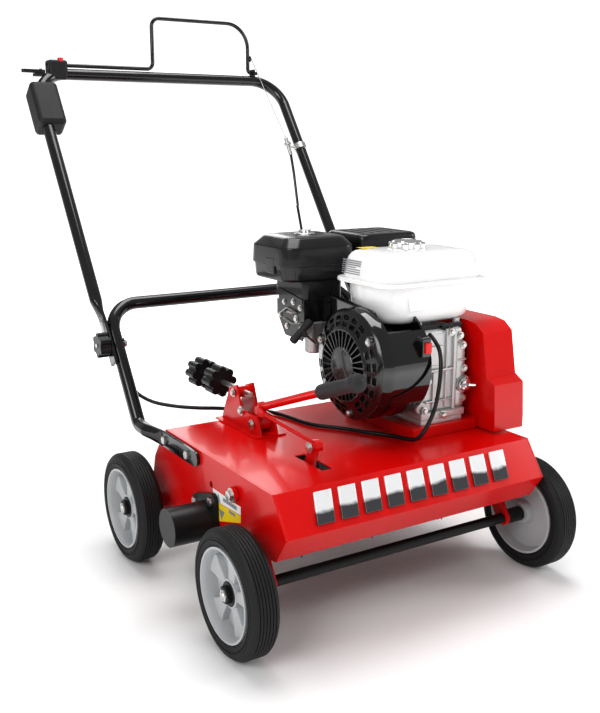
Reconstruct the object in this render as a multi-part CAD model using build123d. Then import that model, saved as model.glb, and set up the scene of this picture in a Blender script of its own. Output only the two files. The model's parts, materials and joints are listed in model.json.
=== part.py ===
from build123d import *
import math
import os

# Walk-behind lawn dethatcher, in millimetres. X runs across the machine, the front faces -Y and
# +Z is up. The origin is on the ground under the middle of the machine's outline.

# ---- wheels and axles ----
wheel_radius = 100
wheel_width = 48
rim_radius = 73
wheelbase = 401
front_axle_y = -399
axle_radius = 9
running_gap = 0.05
moving_gap = 0.5
wheel_gap = 21
hub_gap = 23
hub_width = 33

# ---- deck ----
deck_half_width = 256
wheel_outer_x = deck_half_width + wheel_gap + wheel_width
hub_inner_x = deck_half_width + hub_gap
hub_outer_x = hub_inner_x + hub_width
sheet = 3
deck_top_z = 255
deck_front_y = -33
deck_rear_y = 344
nose_y = -73
nose_z = 197
lip_y = -44
lip_z = 154
skirt_z = 112
bolt_radius = 4
accessory_hole_radius = 5.5

# ---- front axle lift ----
rocker_y = 79
rocker_z = 220
rocker_shaft_radius = 8
rocker_pin_y = 55
rocker_pin_z = 282
arm_gap = 12
arm_thickness = 8
arm_outer_x = deck_half_width - arm_gap
arm_inner_x = arm_outer_x - arm_thickness
lift_x = -120
bracket_gap = 28
bracket_plate = 4
lever_y = 238
lever_z = 273
crank_pin_y = 230
crank_pin_z = 298
open_pivot_clearance = 2
pin_radius = 4
lever_tip_y = -53
lever_tip_z = 409
lever_radius = 7
grip_length = 115
grip_radius = 15.5
screw_y = 305
screw_z = 315
screw_radius = 5
screw_rear_y = 504
depth_knob_y = 400
lock_knob_y = 472
depth_knob_radius = 29

# ---- rotor and drive ----
rotor_y = 171
rotor_z = 147
rotor_radius = 100
rotor_shaft_radius = 14
rotor_end_gap = 42
rotor_half_width = deck_half_width - rotor_end_gap
blade_count = 13
blade_thickness = 3
bearing_radius = 32
bearing_length = 78
bearing_outer_x = deck_half_width + bearing_length
crank_y = 140
crank_z = 383
crank_radius = 9.5
pulley_gap = 6
pulley_x = deck_half_width + pulley_gap
pulley_width = 17
crank_pulley_radius = 34
rotor_pulley_radius = 42
belt_gap = 0.4
guard_wall = 2.5
guard_inner_x = 222
idler_radius = 17
idler_share = 0.46
idler_pivot_y = 222
idler_pivot_z = 345
guard_gap = 7
guard_width = 27
guard_lower_x = deck_half_width + guard_gap
guard_outer_x = guard_lower_x + guard_width
guard_top_z = 446

# ---- engine ----
platform_height = 20
platform_left_x = 76
platform_right_x = 220
platform_front_y = 58
platform_rear_y = 262
engine_left_x = 99
engine_right_x = 205
engine_front_y = 70
blower_radius = 98
blower_face_x = 0
flywheel_radius = 60
cylinder_tilt = 20
tank_size = (224, 156, 122)
tank_centre = (142, 158, 509)
fuel_cap_radius = 33
air_cleaner_size = (154, 146, 80)
air_cleaner_centre = (20, 325, 550)
carburettor_x = 0
muffler_bottom_z = 492
grip_centre = (-26, 256, 424)
rope_start = (-6, 238, 402)

# ---- handles ----
handle_radius = 12.5
handle_wall = 2
lower_handle_gap = 18
lower_handle_x = deck_half_width + lower_handle_gap
lower_handle_z = 238
lower_bend_y = 423
lower_bend_z = 245
lower_top_y = 565.5
fold_y = 518
fold_z = 382
handle_slope = 54.4
upper_handle_gap = 19
upper_handle_x = lower_handle_x + upper_handle_gap
upper_radius = 12
upper_length = 630
tube_start = 92
corner_radius = 70
flat_thickness = 6
flat_width = 27
fold_bolt_radius = 4
fold_knob_radius = 24
bail_radius = 4.2
bail_lift = 18
bail_height = 108
bail_left_x = 262
bail_eye_x = 220.8
bail_eye_lift = 32
hook_x = 228
button_radius = 6
control_box_distance = 545
control_box_length = 104
lead_seam_distance = 150
lead_radius = 3.5
cable_radius = 3

nodes = {}


def behind(distance):
    """Row position of a point measured rearwards from the front axle."""
    return front_axle_y + distance


def at(y, z):
    """Side-view point, measured rearwards from the front axle."""
    return (behind(y), z)


def cylinder_x(radius, x0, x1, y, z):
    centre = Pos((x0 + x1) / 2, behind(y), z)
    return centre * Rot(0, 90, 0) * Cylinder(radius, abs(x1 - x0))


def cylinder_y(radius, y0, y1, x, z):
    centre = Pos(x, behind((y0 + y1) / 2), z)
    return centre * Rot(90, 0, 0) * Cylinder(radius, abs(y1 - y0))


def cylinder_z(radius, z0, z1, x, y):
    return Pos(x, behind(y), (z0 + z1) / 2) * Cylinder(radius, abs(z1 - z0))


def block(x0, x1, y0, y1, z0, z1):
    centre = Pos((x0 + x1) / 2, behind((y0 + y1) / 2), (z0 + z1) / 2)
    return centre * Box(abs(x1 - x0), abs(y1 - y0), abs(z1 - z0))


def side_profile(points, x0, x1):
    """Prism whose outline is drawn in side view."""
    outline = make_face(Polyline(*[at(y, z) for y, z in points], close=True))
    return extrude(Plane.YZ.offset(min(x0, x1)) * outline, amount=abs(x1 - x0))


def link_plate(ends, x0, x1):
    """Flat plate with round ends: each end is (y, z, radius)."""
    circles = Sketch() + [Pos(behind(y), z) * Circle(radius) for y, z, radius in ends]
    outline = make_hull(circles.edges())
    return extrude(Plane.YZ.offset(min(x0, x1)) * outline, amount=abs(x1 - x0))


def folded_sheet(points, thickness):
    """Outline of a bent sheet whose outer face follows the points, with the metal on its left."""
    normals = []
    for (y0, z0), (y1, z1) in zip(points, points[1:]):
        length = math.hypot(y1 - y0, z1 - z0)
        normals.append((-(z1 - z0) / length, (y1 - y0) / length))
    inner = []
    for i, (y, z) in enumerate(points):
        before = normals[max(i - 1, 0)]
        after = normals[min(i, len(normals) - 1)]
        scale = thickness / (1 + before[0] * after[0] + before[1] * after[1])
        inner.append((y + (before[0] + after[0]) * scale, z + (before[1] + after[1]) * scale))
    return list(points) + inner[::-1]


def pipe(points, radii, outer, inner=0):
    """Round bar or tube along straight runs joined by tangent arcs."""
    if len(points) == 2:
        path = Line(*points)
    else:
        path = FilletPolyline(*points, radius=radii)
    section = Circle(outer)
    if inner:
        section -= Circle(inner)
    return sweep(Plane(origin=path @ 0, z_dir=path % 0) * section, path=path)


def hexagon_x(across, x0, x1, y, z):
    outline = Pos(behind(y), z) * RegularPolygon(across / 2, 6, major_radius=False)
    return extrude(Plane.YZ.offset(min(x0, x1)) * outline, amount=abs(x1 - x0))


def star_knob(radius, height, lobes, bore):
    """Lobed hand knob standing on its bore's axis, from z = 0 upwards."""
    body = Cylinder(radius * 0.78, height)
    for i in range(lobes):
        lobe = PolarLocations(radius * 0.74, 1, i * 360 / lobes) * Cylinder(radius * 0.26, height)
        body += lobe
    body -= Cylinder(bore, height * 2)
    return Pos(0, 0, height / 2) * body


def both_sides(shape):
    return [shape, mirror(shape, about=Plane.YZ)]


def slope_plane(x, distance):
    """Plane across the folding handle, this far along it from the fold bolt."""
    slope = math.radians(handle_slope)
    along = (0, math.cos(slope), math.sin(slope))
    origin = (x, behind(fold_y) + along[1] * distance, fold_z + along[2] * distance)
    return Plane(origin=origin, x_dir=(1, 0, 0), z_dir=along)


def slope_point(x, distance, rear=0):
    """Point along the folding handle, offset towards its rear side."""
    slope = math.radians(handle_slope)
    y = behind(fold_y) + math.cos(slope) * distance + math.sin(slope) * rear
    z = fold_z + math.sin(slope) * distance - math.cos(slope) * rear
    return (x, y, z)


# ---- deck shell, side plates and engine platform ----
def deck():
    outline = [(lip_y, lip_z), (nose_y, nose_z), (deck_front_y, deck_top_z), (deck_rear_y, deck_top_z),
               (382, 211), (397, 191)]
    shell = side_profile(folded_sheet(outline[::-1], sheet), -deck_half_width + sheet,
                         deck_half_width - sheet)
    slot_width = 20
    return shell - block(lift_x - slot_width / 2 - 6, lift_x + slot_width / 2 - 6, 18, 100,
                         deck_top_z - 20, deck_top_z + 10)


def side_plates():
    outline = [(nose_y, nose_z), (deck_front_y, deck_top_z), (deck_rear_y, deck_top_z), (382, 211),
               (397, 191), (422, 106), (398, 79), (330, skirt_z), (60, skirt_z), (20, 128), (-20, 150),
               (lip_y, lip_z)]
    plate = side_profile(outline, -deck_half_width, -deck_half_width + sheet)
    plate += cylinder_x(24, -deck_half_width, -deck_half_width + sheet, wheelbase, wheel_radius)
    through = 3 * sheet
    edge = -deck_half_width
    plate -= cylinder_x(rocker_shaft_radius + running_gap, edge - through, edge + through, rocker_y, rocker_z)
    plate -= cylinder_x(rotor_shaft_radius + 6, edge - through, edge + through, rotor_y, rotor_z)
    plate -= cylinder_x(axle_radius, edge - through, edge + through, wheelbase, wheel_radius)
    for y, z in handle_bolt_points() + bearing_bolt_points():
        plate -= cylinder_x(bolt_radius, edge - through, edge + through, y, z)
    left = plate - cylinder_x(accessory_hole_radius, edge - through, edge + through, 166, 208)
    right = mirror(plate, about=Plane.YZ)
    return Compound(children=[left, right])


def handle_bolt_points():
    return [(335, lower_handle_z), (242, lower_handle_z)]


def bearing_bolt_points():
    return [(rotor_y - 20, rotor_z + 38), (rotor_y + 38, rotor_z + 20)]


def engine_platform():
    top = deck_top_z + platform_height
    outer = block(platform_left_x, platform_right_x, platform_front_y, platform_rear_y, deck_top_z, top)
    inner = block(platform_left_x + sheet, platform_right_x - sheet, platform_front_y + sheet,
                  platform_rear_y - sheet, deck_top_z, top - 4)
    return outer - inner


def rear_axle():
    bar = cylinder_x(axle_radius, -wheel_outer_x + 3, wheel_outer_x - 3, wheelbase, wheel_radius)
    spacer = cylinder_x(axle_radius + 4, -deck_half_width - 0.5, -hub_inner_x + moving_gap, wheelbase,
                        wheel_radius)
    spacer -= cylinder_x(axle_radius, -wheel_outer_x, 0, wheelbase, wheel_radius)
    return Compound(children=[bar] + axle_nuts(wheelbase) + both_sides(spacer))


def axle_nuts(y):
    nut = hexagon_x(24, -wheel_outer_x + 4, -hub_outer_x - moving_gap, y, wheel_radius)
    nut -= cylinder_x(axle_radius, -wheel_outer_x, 0, y, wheel_radius)
    return both_sides(nut)


# ---- wheels ----
def tyre():
    ring = Cylinder(wheel_radius, wheel_width)
    ring = fillet(ring.edges(), 9)
    for i in range(-2, 3):
        groove = Cylinder(wheel_radius + 5, 2.4) - Cylinder(wheel_radius - 2, 2.4)
        ring -= Pos(0, 0, i * 7.4) * groove
    return ring - Cylinder(rim_radius, wheel_width * 2)


def rim():
    hub_length = hub_outer_x - hub_inner_x
    hub_centre = (hub_inner_x + hub_outer_x) / 2 - (wheel_outer_x - wheel_width / 2)
    barrel = Cylinder(rim_radius, wheel_width - 6) - Cylinder(rim_radius - 9, wheel_width)
    hub = Pos(0, 0, hub_centre) * Cylinder(22, hub_length)
    spokes = PolarLocations(42, 5) * Box(50, 19, 16)
    wheel = barrel + hub
    for spoke in spokes:
        wheel += spoke
    return wheel - Cylinder(axle_radius + running_gap, wheel_width * 3)


def add_wheels():
    centre_x = wheel_outer_x - wheel_width / 2
    spots = {"front_left": (1, 0), "front_right": (-1, 0), "rear_left": (1, wheelbase),
             "rear_right": (-1, wheelbase)}
    for name, (side, y) in spots.items():
        spot = Pos(side * centre_x, behind(y), wheel_radius) * Rot(0, 90 * side, 0)
        nodes[name + "_tyre"] = spot * tyre()
        nodes[name + "_rim"] = spot * rim()


# ---- front axle, swing arms and rocker ----
def front_axle():
    bar = cylinder_x(axle_radius, -wheel_outer_x + 3, wheel_outer_x - 3, 0, wheel_radius)
    spacer = cylinder_x(axle_radius + 4, -arm_outer_x, -hub_inner_x + moving_gap, 0, wheel_radius)
    spacer -= cylinder_x(axle_radius, -wheel_outer_x, 0, 0, wheel_radius)
    return Compound(children=[bar] + axle_nuts(0) + both_sides(spacer))


def rocker_shaft():
    shaft = cylinder_x(rocker_shaft_radius, -deck_half_width - 8, deck_half_width - 1, rocker_y, rocker_z)
    for side in (-1, 1):
        shaft += link_plate([(rocker_y, rocker_z, 17), (0, wheel_radius, 13)], side * arm_inner_x,
                            side * arm_outer_x)
    shaft += link_plate([(rocker_y, rocker_z, 14), (rocker_pin_y, rocker_pin_z, 10)], lift_x - 9, lift_x - 3)
    shaft -= cylinder_x(axle_radius, -wheel_outer_x, wheel_outer_x, 0, wheel_radius)
    shaft += cylinder_x(pin_radius, lift_x - 16, lift_x + 6, rocker_pin_y, rocker_pin_z)
    shaft += hexagon_x(13, lift_x - 15, lift_x - 9, rocker_pin_y, rocker_pin_z)
    shaft += hexagon_x(22, -deck_half_width - 9, -deck_half_width - 1, rocker_y, rocker_z)
    return shaft


# ---- lift lever, link and depth screw ----
def lift_bracket():
    inner = bracket_gap / 2
    foot = block(lift_x - 30, lift_x + 30, 204, 357, deck_top_z, deck_top_z + 3)
    bracket = foot
    for side in (-1, 1):
        x0 = lift_x + side * inner
        x1 = lift_x + side * (inner + bracket_plate)
        bracket += side_profile([(208, deck_top_z), (352, deck_top_z), (352, 262), (322, 322), (296, 331),
                                 (280, 290), (222, 288)], x0, x1)
        bracket -= cylinder_x(pin_radius + 1, x0 - 2 * side, x1 + 2 * side, lever_y, lever_z)
    trunnion = cylinder_x(10, lift_x - inner, lift_x + inner, screw_y, screw_z)
    trunnion -= cylinder_y(screw_radius + running_gap, screw_y - 20, screw_y + 20, lift_x, screw_z)
    return bracket + trunnion


def lift_lever():
    thickness = 8
    x0 = lift_x - thickness / 2
    x1 = lift_x + thickness / 2
    lever = link_plate([(lever_y, lever_z, 12), (236, 303, 9)], x0, x1)
    lever += cylinder_x(13, lift_x - bracket_gap / 2 + moving_gap, lift_x + bracket_gap / 2 - moving_gap,
                        lever_y, lever_z)
    lever += cylinder_x(pin_radius + 1 - running_gap, lift_x - 24, lift_x + 24, lever_y, lever_z)
    start = (lift_x, behind(236), 302)
    tip = (lift_x, behind(lever_tip_y), lever_tip_z)
    lever += pipe([start, tip], None, lever_radius)
    lever += cylinder_x(pin_radius, lift_x - 13.4, lift_x + 4, crank_pin_y, crank_pin_z)
    return lever


def lever_grip():
    start = Vector(lift_x, behind(236), 302)
    tip = Vector(lift_x, behind(lever_tip_y), lever_tip_z)
    along = (tip - start).normalized()
    grip = Pos(0, 0, -grip_length / 2 + 8) * Cylinder(grip_radius, grip_length)
    grip = fillet(grip.edges(), 7)
    grip -= Pos(0, 0, -grip_length / 2) * Cylinder(lever_radius, grip_length)
    return Plane(origin=tip, z_dir=along) * grip


def link_rod():
    x0 = lift_x - 13
    x1 = lift_x - lever_radius - moving_gap
    rod = link_plate([(crank_pin_y, crank_pin_z, 9), (crank_pin_y - 18, crank_pin_z - 2, 5)], x0, x1)
    bar_start = ((x0 + x1) / 2, behind(crank_pin_y - 6), crank_pin_z - 0.6)
    bar_end = (lift_x + 1.5, behind(rocker_pin_y + 4), rocker_pin_z)
    rod += pipe([bar_start, bar_end], None, 3.4)
    eye_x0 = lift_x - 2.5
    eye_x1 = lift_x + 4.5
    rod += link_plate([(rocker_pin_y, rocker_pin_z, 9), (rocker_pin_y + 14, rocker_pin_z + 1, 5)], eye_x0, eye_x1)
    rod -= cylinder_x(pin_radius + running_gap, x0 - 2, x1 + 1, crank_pin_y, crank_pin_z)
    rod -= cylinder_x(pin_radius + open_pivot_clearance, eye_x0 - 1, eye_x1 + 1, rocker_pin_y, rocker_pin_z)
    return rod


def depth_screw():
    return cylinder_y(screw_radius, 276, screw_rear_y, lift_x, screw_z)


def knob_on_screw(y):
    knob = star_knob(depth_knob_radius, 34, 8, screw_radius)
    return Pos(lift_x, behind(y - 17), screw_z) * Rot(-90, 0, 0) * knob


# ---- rotor ----
def bearing_housings():
    left = cylinder_x(bearing_radius, -bearing_outer_x, -deck_half_width, rotor_y, rotor_z)
    lugs = [(y, z, 13) for y, z in bearing_bolt_points()]
    left += link_plate(lugs + [(rotor_y, rotor_z, 34)], -deck_half_width - 8, -deck_half_width)
    left -= cylinder_x(rotor_shaft_radius + running_gap, -bearing_outer_x + 8, -deck_half_width + 1, rotor_y,
                       rotor_z)
    right = link_plate(lugs + [(rotor_y, rotor_z, 34)], deck_half_width - sheet - 14, deck_half_width - sheet)
    right -= cylinder_x(rotor_shaft_radius + running_gap, 200, 300, rotor_y, rotor_z)
    for y, z in bearing_bolt_points():
        left -= cylinder_x(bolt_radius, -300, -200, y, z)
        right -= cylinder_x(bolt_radius, 200, 300, y, z)
    return Compound(children=[left, right])


def rotor_shaft():
    return cylinder_x(rotor_shaft_radius, -bearing_outer_x + 9, pulley_x + pulley_width + 3, rotor_y, rotor_z)


def blade_pitch():
    return 2 * rotor_half_width / (blade_count - 1)


def blade(index):
    """Four-pointed blade plate; each one is turned a little further than the last."""
    arms = 4
    tip = rotor_radius
    root = 30
    points = []
    for arm in range(arms):
        base = 360 / arms * arm + index * 360 / arms * 3 / blade_count
        for turn, radius in ((-12, tip * 0.72), (0, tip), (9, tip * 0.72), (45, root)):
            angle = math.radians(base + turn)
            points.append((radius * math.cos(angle), radius * math.sin(angle)))
    plate = make_face(Polyline(*points, close=True)) - Circle(rotor_shaft_radius)
    x = -rotor_half_width + index * blade_pitch()
    placed = Plane.YZ.offset(x - blade_thickness / 2) * Pos(behind(rotor_y), rotor_z) * plate
    return extrude(placed, amount=blade_thickness)


def rotor_blades():
    return Compound(children=[blade(i) for i in range(blade_count)])


def rotor_spacers():
    spacers = []
    for i in range(blade_count - 1):
        x0 = -rotor_half_width + i * blade_pitch() + blade_thickness / 2
        x1 = x0 + blade_pitch() - blade_thickness
        ring = cylinder_x(22, x0, x1, rotor_y, rotor_z)
        spacers.append(ring - cylinder_x(rotor_shaft_radius, x0 - 1, x1 + 1, rotor_y, rotor_z))
    return Compound(children=spacers)


# ---- belt drive ----
def pulley(radius, bore, y, z):
    """V-belt pulley with one groove, standing beside the right side plate."""
    groove_top = 13
    groove_bottom = 9
    depth = 9
    half = pulley_width / 2
    outline = Polyline((bore, -half), (radius, -half), (radius, -groove_top / 2),
                       (radius - depth, -groove_bottom / 2), (radius - depth, groove_bottom / 2),
                       (radius, groove_top / 2), (radius, half), (bore, half), close=True)
    face = make_face(Plane.XZ * outline)
    wheel = revolve(face, Axis.Z)
    return Pos(pulley_x + half, behind(y), z) * Rot(0, 90, 0) * wheel


def belt_loop(inset, x0, x1):
    return link_plate([(crank_y, crank_z, crank_pulley_radius - inset),
                       (rotor_y, rotor_z, rotor_pulley_radius - inset)], x0, x1)


def drive_belt():
    centre = pulley_x + pulley_width / 2
    half = 4.2
    band = belt_loop(2.5, centre - half, centre + half)
    return band - belt_loop(9 - belt_gap, centre - half - 1, centre + half + 1)


def belt_guard():
    top = guard_top_z
    floor = deck_top_z + 3
    upper = [(15, 281), (19, 341), (39, 352), (53, top - 18), (72, top - 4), (96, top), (190, top),
             (222, top - 16), (236, top - 50), (240, floor), (15, floor)]
    lower = [(106, floor), (106, 120), (130, 92), (rotor_y, 84), (208, 92), (231, 120), (231, floor)]
    guard = side_profile(upper, guard_inner_x, guard_outer_x)
    guard += side_profile(lower, guard_lower_x, guard_outer_x)
    for z in (140, 210):
        guard += block(deck_half_width, guard_lower_x + 2, 106, 112, z, z + 16)
    inner_upper = offset(make_face(Polyline(*[at(y, z) for y, z in upper], close=True)), -guard_wall)
    inner_lower = offset(make_face(Polyline(*[at(y, z) for y, z in lower], close=True)), -guard_wall)
    depth = guard_outer_x - guard_inner_x - 2 * guard_wall
    guard -= extrude(Plane.YZ.offset(guard_inner_x + guard_wall) * inner_upper, amount=depth)
    guard -= extrude(Plane.YZ.offset(guard_lower_x - 1) * inner_lower,
                     amount=guard_outer_x - guard_wall - guard_lower_x + 1)
    guard -= block(guard_lower_x - 1, guard_outer_x - guard_wall, 106 + guard_wall, 231 - guard_wall,
                   floor - 10, floor + 10)
    guard -= cylinder_x(46, guard_inner_x - 5, guard_inner_x + 10, crank_y, crank_z)
    return guard


def idler_spot():
    """Centre of the idler, just clear of the belt's slack run."""
    length = math.hypot(rotor_y - crank_y, crank_z - rotor_z)
    across = ((crank_z - rotor_z) / length, (rotor_y - crank_y) / length)
    belt_half = crank_pulley_radius + (rotor_pulley_radius - crank_pulley_radius) * idler_share
    offset_out = belt_half + idler_radius
    y = crank_y + (rotor_y - crank_y) * idler_share + across[0] * offset_out
    z = crank_z + (rotor_z - crank_z) * idler_share + across[1] * offset_out
    return y, z


def idler_arm():
    idler_y, idler_z = idler_spot()
    x0 = pulley_x - 8
    x1 = pulley_x - 3
    arm = link_plate([(idler_pivot_y, idler_pivot_z, 9), (idler_y, idler_z, 9)], x0, x1)
    arm += cylinder_x(4, x0, pulley_x + 16, idler_y, idler_z)
    arm -= cylinder_x(4 + running_gap, x0 - 1, x1 + 1, idler_pivot_y, idler_pivot_z)
    return arm


def idler_pulley():
    idler_y, idler_z = idler_spot()
    wheel = cylinder_x(idler_radius, pulley_x + 1, pulley_x + 15, idler_y, idler_z)
    return wheel - cylinder_x(4 + running_gap, pulley_x - 5, pulley_x + 20, idler_y, idler_z)


def idler_pivot():
    return cylinder_x(4, pulley_x - 12, guard_outer_x - guard_wall, idler_pivot_y, idler_pivot_z)


# ---- engine ----
def crankcase():
    base_z = deck_top_z + platform_height
    case = block(engine_left_x, engine_right_x - 14, 66, 256, base_z, base_z + 8)
    case += fillet(block(engine_left_x, engine_right_x, engine_front_y, 215, base_z + 6, 448).edges(), 6)
    barrel = Pos(150, behind(crank_y), crank_z) * Rot(cylinder_tilt, 0, 0)
    for i in range(6):
        case += barrel * Pos(0, 116 + i * 12, 0) * Box(96, 6, 74)
    case += barrel * Pos(0, 96, 0) * Box(80, 172, 60)
    shaft_bore = cylinder_x(crank_radius + running_gap, 60, 240, crank_y, crank_z)
    return case - shaft_bore


def blower_housing():
    back = engine_left_x
    drum = cylinder_x(blower_radius, blower_face_x, back, crank_y, crank_z)
    drum += side_profile([(crank_y - 40, 478), (250, 492), (262, 430), (225, 330)], blower_face_x + 18, back)
    drum -= cylinder_x(blower_radius - 4, blower_face_x - 1, back - 4, crank_y, crank_z)
    drum -= cylinder_x(crank_radius + 3, back - 10, back + 1, crank_y, crank_z)
    drum -= block(blower_face_x + 22, back + 5, 40, 260, tank_bottom_z(), 560)
    switch_box = block(76, 94, 38, 60, 404, 438) - block(78.5, 91.5, 37, 42, 410.8, 431.2)
    switch_box -= cylinder_x(1.2 + running_gap, 77, 93, 39.2, 421)
    return drum + (switch_box - cylinder_x(blower_radius - 2, 70, 110, crank_y, crank_z))


def tank_bottom_z():
    return tank_centre[2] - tank_size[2] / 2 - 1


def recoil_cover():
    """Domed starter cover with radial air slots around a plain centre disc."""
    radius = blower_radius - 1
    dome = Cylinder(radius, 8) + Pos(0, 0, 10) * Cone(radius - 6, 52, 14)
    dome -= Pos(0, 0, -2) * Cylinder(radius - 4, 5)
    dome -= Pos(0, 0, 5) * Cone(radius - 12, 46, 14)
    slots = 18
    for spot in PolarLocations(68, slots):
        dome -= spot * Box(28, 7, 80)
    return Pos(blower_face_x - 4, behind(crank_y), crank_z) * Rot(0, -90, 0) * dome


def crankshaft():
    shaft = cylinder_x(crank_radius, 20, pulley_x + pulley_width + 3, crank_y, crank_z)
    fan = cylinder_x(flywheel_radius, 24, 74, crank_y, crank_z)
    fan -= cylinder_x(flywheel_radius - 12, 23, 50, crank_y, crank_z)
    return shaft + fan


def fuel_tank():
    width, depth, height = tank_size
    x, y, z = tank_centre
    body = Pos(x, behind(y), z) * Box(width, depth, height)
    body = fillet(body.edges(), 24)
    seam = Pos(x, behind(y), z + 11) * Box(width + 12, depth + 12, 7)
    seam = fillet(seam.edges().filter_by(Axis.Z), 28)
    neck = cylinder_z(24, z + height / 2 - 2, z + height / 2 + 3, 125, 150)
    hollow = Pos(x, behind(y), z) * Box(width - 6, depth - 6, height - 6)
    tank = body + seam + neck - fillet(hollow.edges(), 21)
    return tank - cylinder_z(19, z + height / 2 - 6, z + height / 2 + 5, 125, 150)


def fuel_cap():
    top = tank_centre[2] + tank_size[2] / 2
    cap = star_knob(fuel_cap_radius, 16, 8, 1)
    cap += Pos(0, 0, 8) * Cylinder(5, 16)
    return Pos(125, behind(150), top + 3) * cap


def air_cleaner():
    width, depth, height = air_cleaner_size
    x, y, z = air_cleaner_centre
    cover = Pos(x, behind(y), z) * Box(width, depth, height)
    cover = fillet(cover.edges(), 12)
    elbow = block(x - 34, x + 50, y - 60, y + 45, z - height / 2 - 74, z - height / 2 + 2)
    nut = cylinder_z(13, z + height / 2 - 1, z + height / 2 + 8, x + 4, y)
    return cover + fillet(elbow.edges().filter_by(Axis.Z), 10) + nut


def muffler():
    guard = fillet(block(112, 248, 268, 394, muffler_bottom_z, 588).edges(), 12)
    outlet = cylinder_y(13, 392, 402, 190, 520)
    inlet = cylinder_z(12, muffler_bottom_z - 22, muffler_bottom_z + 4, 180, 312)
    hollow = block(115, 245, 271, 391, muffler_bottom_z + 3, 585)
    return guard + outlet + inlet - fillet(hollow.edges(), 9) - cylinder_y(10, 385, 405, 190, 520)


def carburettor():
    x, y, z = air_cleaner_centre
    top = z - air_cleaner_size[2] / 2 - 74
    body = block(carburettor_x, 46, 262, 318, top - 36, top)
    bowl = cylinder_z(17, top - 62, top - 34, 22, 290)
    return body + bowl + cylinder_x(12, 40, 102.5, 290, top - 14)


def choke_lever():
    inner_x = carburettor_x - 1
    lever = link_plate([(300, 418, 6), (320, 402, 4)], inner_x - 3.5, inner_x)
    return lever + cylinder_x(3, inner_x - 3.5, inner_x + 0.8, 300, 418)


def oil_cap():
    cap = Cylinder(13, 12) + Pos(0, 0, 9) * Box(30, 6, 10)
    return Pos(196, behind(engine_front_y - 8), 338) * Rot(90, 0, 0) * Pos(0, 0, -0.5) * cap


def switch_rocker():
    rocker = fillet(block(79, 91, 33, 38.6, 412, 430).edges(), 1.2)
    return rocker + cylinder_x(1.2, 77.2, 92.8, 39.2, 421)


def starter_grip():
    x, y, z = grip_centre
    bar = Cylinder(8, 54)
    bar = fillet(bar.edges(), 5)
    return Pos(x, behind(y), z) * Rot(0, 48, 0) * bar


def starter_rope():
    x0, y0, z0 = rope_start
    x1, y1, z1 = grip_centre
    start = Vector(x0, behind(y0), z0)
    end = Vector(x1, behind(y1), z1)
    along = (end - start).normalized()
    return pipe([start, end - along * 8.5], None, 2)


# ---- lower handle ----
def lower_handle():
    x = -lower_handle_x
    top_z = fold_z + (lower_top_y - fold_y) * math.tan(math.radians(handle_slope))
    points = [(x, behind(388), lower_bend_z), (x, behind(lower_bend_y), lower_bend_z),
              (x, behind(lower_top_y), top_z), (-x, behind(lower_top_y), top_z),
              (-x, behind(lower_bend_y), lower_bend_z), (-x, behind(388), lower_bend_z)]
    handle = pipe(points, [24, 60, 60, 24], handle_radius, handle_radius - handle_wall)
    outer_x = -deck_half_width - flat_thickness
    ends = link_plate([(218, lower_handle_z, flat_width / 2), (345, lower_handle_z, flat_width / 2)],
                      outer_x, -deck_half_width)
    centre = (outer_x - deck_half_width) / 2
    flat_end = Plane(origin=(centre, behind(345), lower_handle_z), x_dir=(1, 0, 0), z_dir=(0, 1, 0))
    round_end = Plane(origin=(x, behind(388), lower_bend_z), x_dir=(1, 0, 0), z_dir=(0, 1, 0))
    ends += loft([flat_end * Rectangle(flat_thickness, flat_width), round_end * Circle(handle_radius)])
    for y, z in handle_bolt_points():
        ends -= cylinder_x(bolt_radius, outer_x - 5, 0, y, z)
    handle += ends
    handle += mirror(ends, about=Plane.YZ)
    return handle - cylinder_x(fold_bolt_radius, -400, 400, fold_y, fold_z)


def through_bolt(inner_x, outer_x, y, z):
    """Bolt along X on the left side: its head is outside outer_x and its nut inside inner_x."""
    bolt = cylinder_x(bolt_radius, -outer_x, -inner_x, y, z)
    bolt += hexagon_x(13, -outer_x - 5, -outer_x, y, z)
    return bolt + hexagon_x(13, -inner_x, -inner_x + 6, y, z)


def fold_knob_inner_x():
    return lower_handle_x + handle_radius + moving_gap + flat_thickness + 1


def frame_bolts():
    inner = deck_half_width - sheet
    bolts = []
    for y, z in handle_bolt_points():
        bolts += both_sides(through_bolt(inner, deck_half_width + flat_thickness, y, z))
    for y, z in bearing_bolt_points():
        bolts.append(through_bolt(inner, deck_half_width + 8, y, z))
        bolts.append(mirror(through_bolt(inner - 14, deck_half_width, y, z), about=Plane.YZ))
    carriage = cylinder_x(fold_bolt_radius, -fold_knob_inner_x() - 22, -lower_handle_x + handle_radius, fold_y,
                          fold_z)
    carriage += cylinder_x(9, -lower_handle_x + handle_radius, -lower_handle_x + handle_radius + 4, fold_y,
                           fold_z)
    return Compound(children=bolts + both_sides(carriage))


def fold_knob(side):
    knob = star_knob(fold_knob_radius, 20, 6, fold_bolt_radius + running_gap)
    return Pos(side * fold_knob_inner_x(), behind(fold_y), fold_z) * Rot(0, 90 * side, 0) * knob


# ---- upper handle ----
def upper_tube(bore):
    x = -upper_handle_x
    points = [slope_point(x, tube_start), slope_point(x, upper_length), slope_point(-x, upper_length),
              slope_point(-x, tube_start)]
    return pipe(points, [corner_radius, corner_radius], upper_radius, bore)


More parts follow.
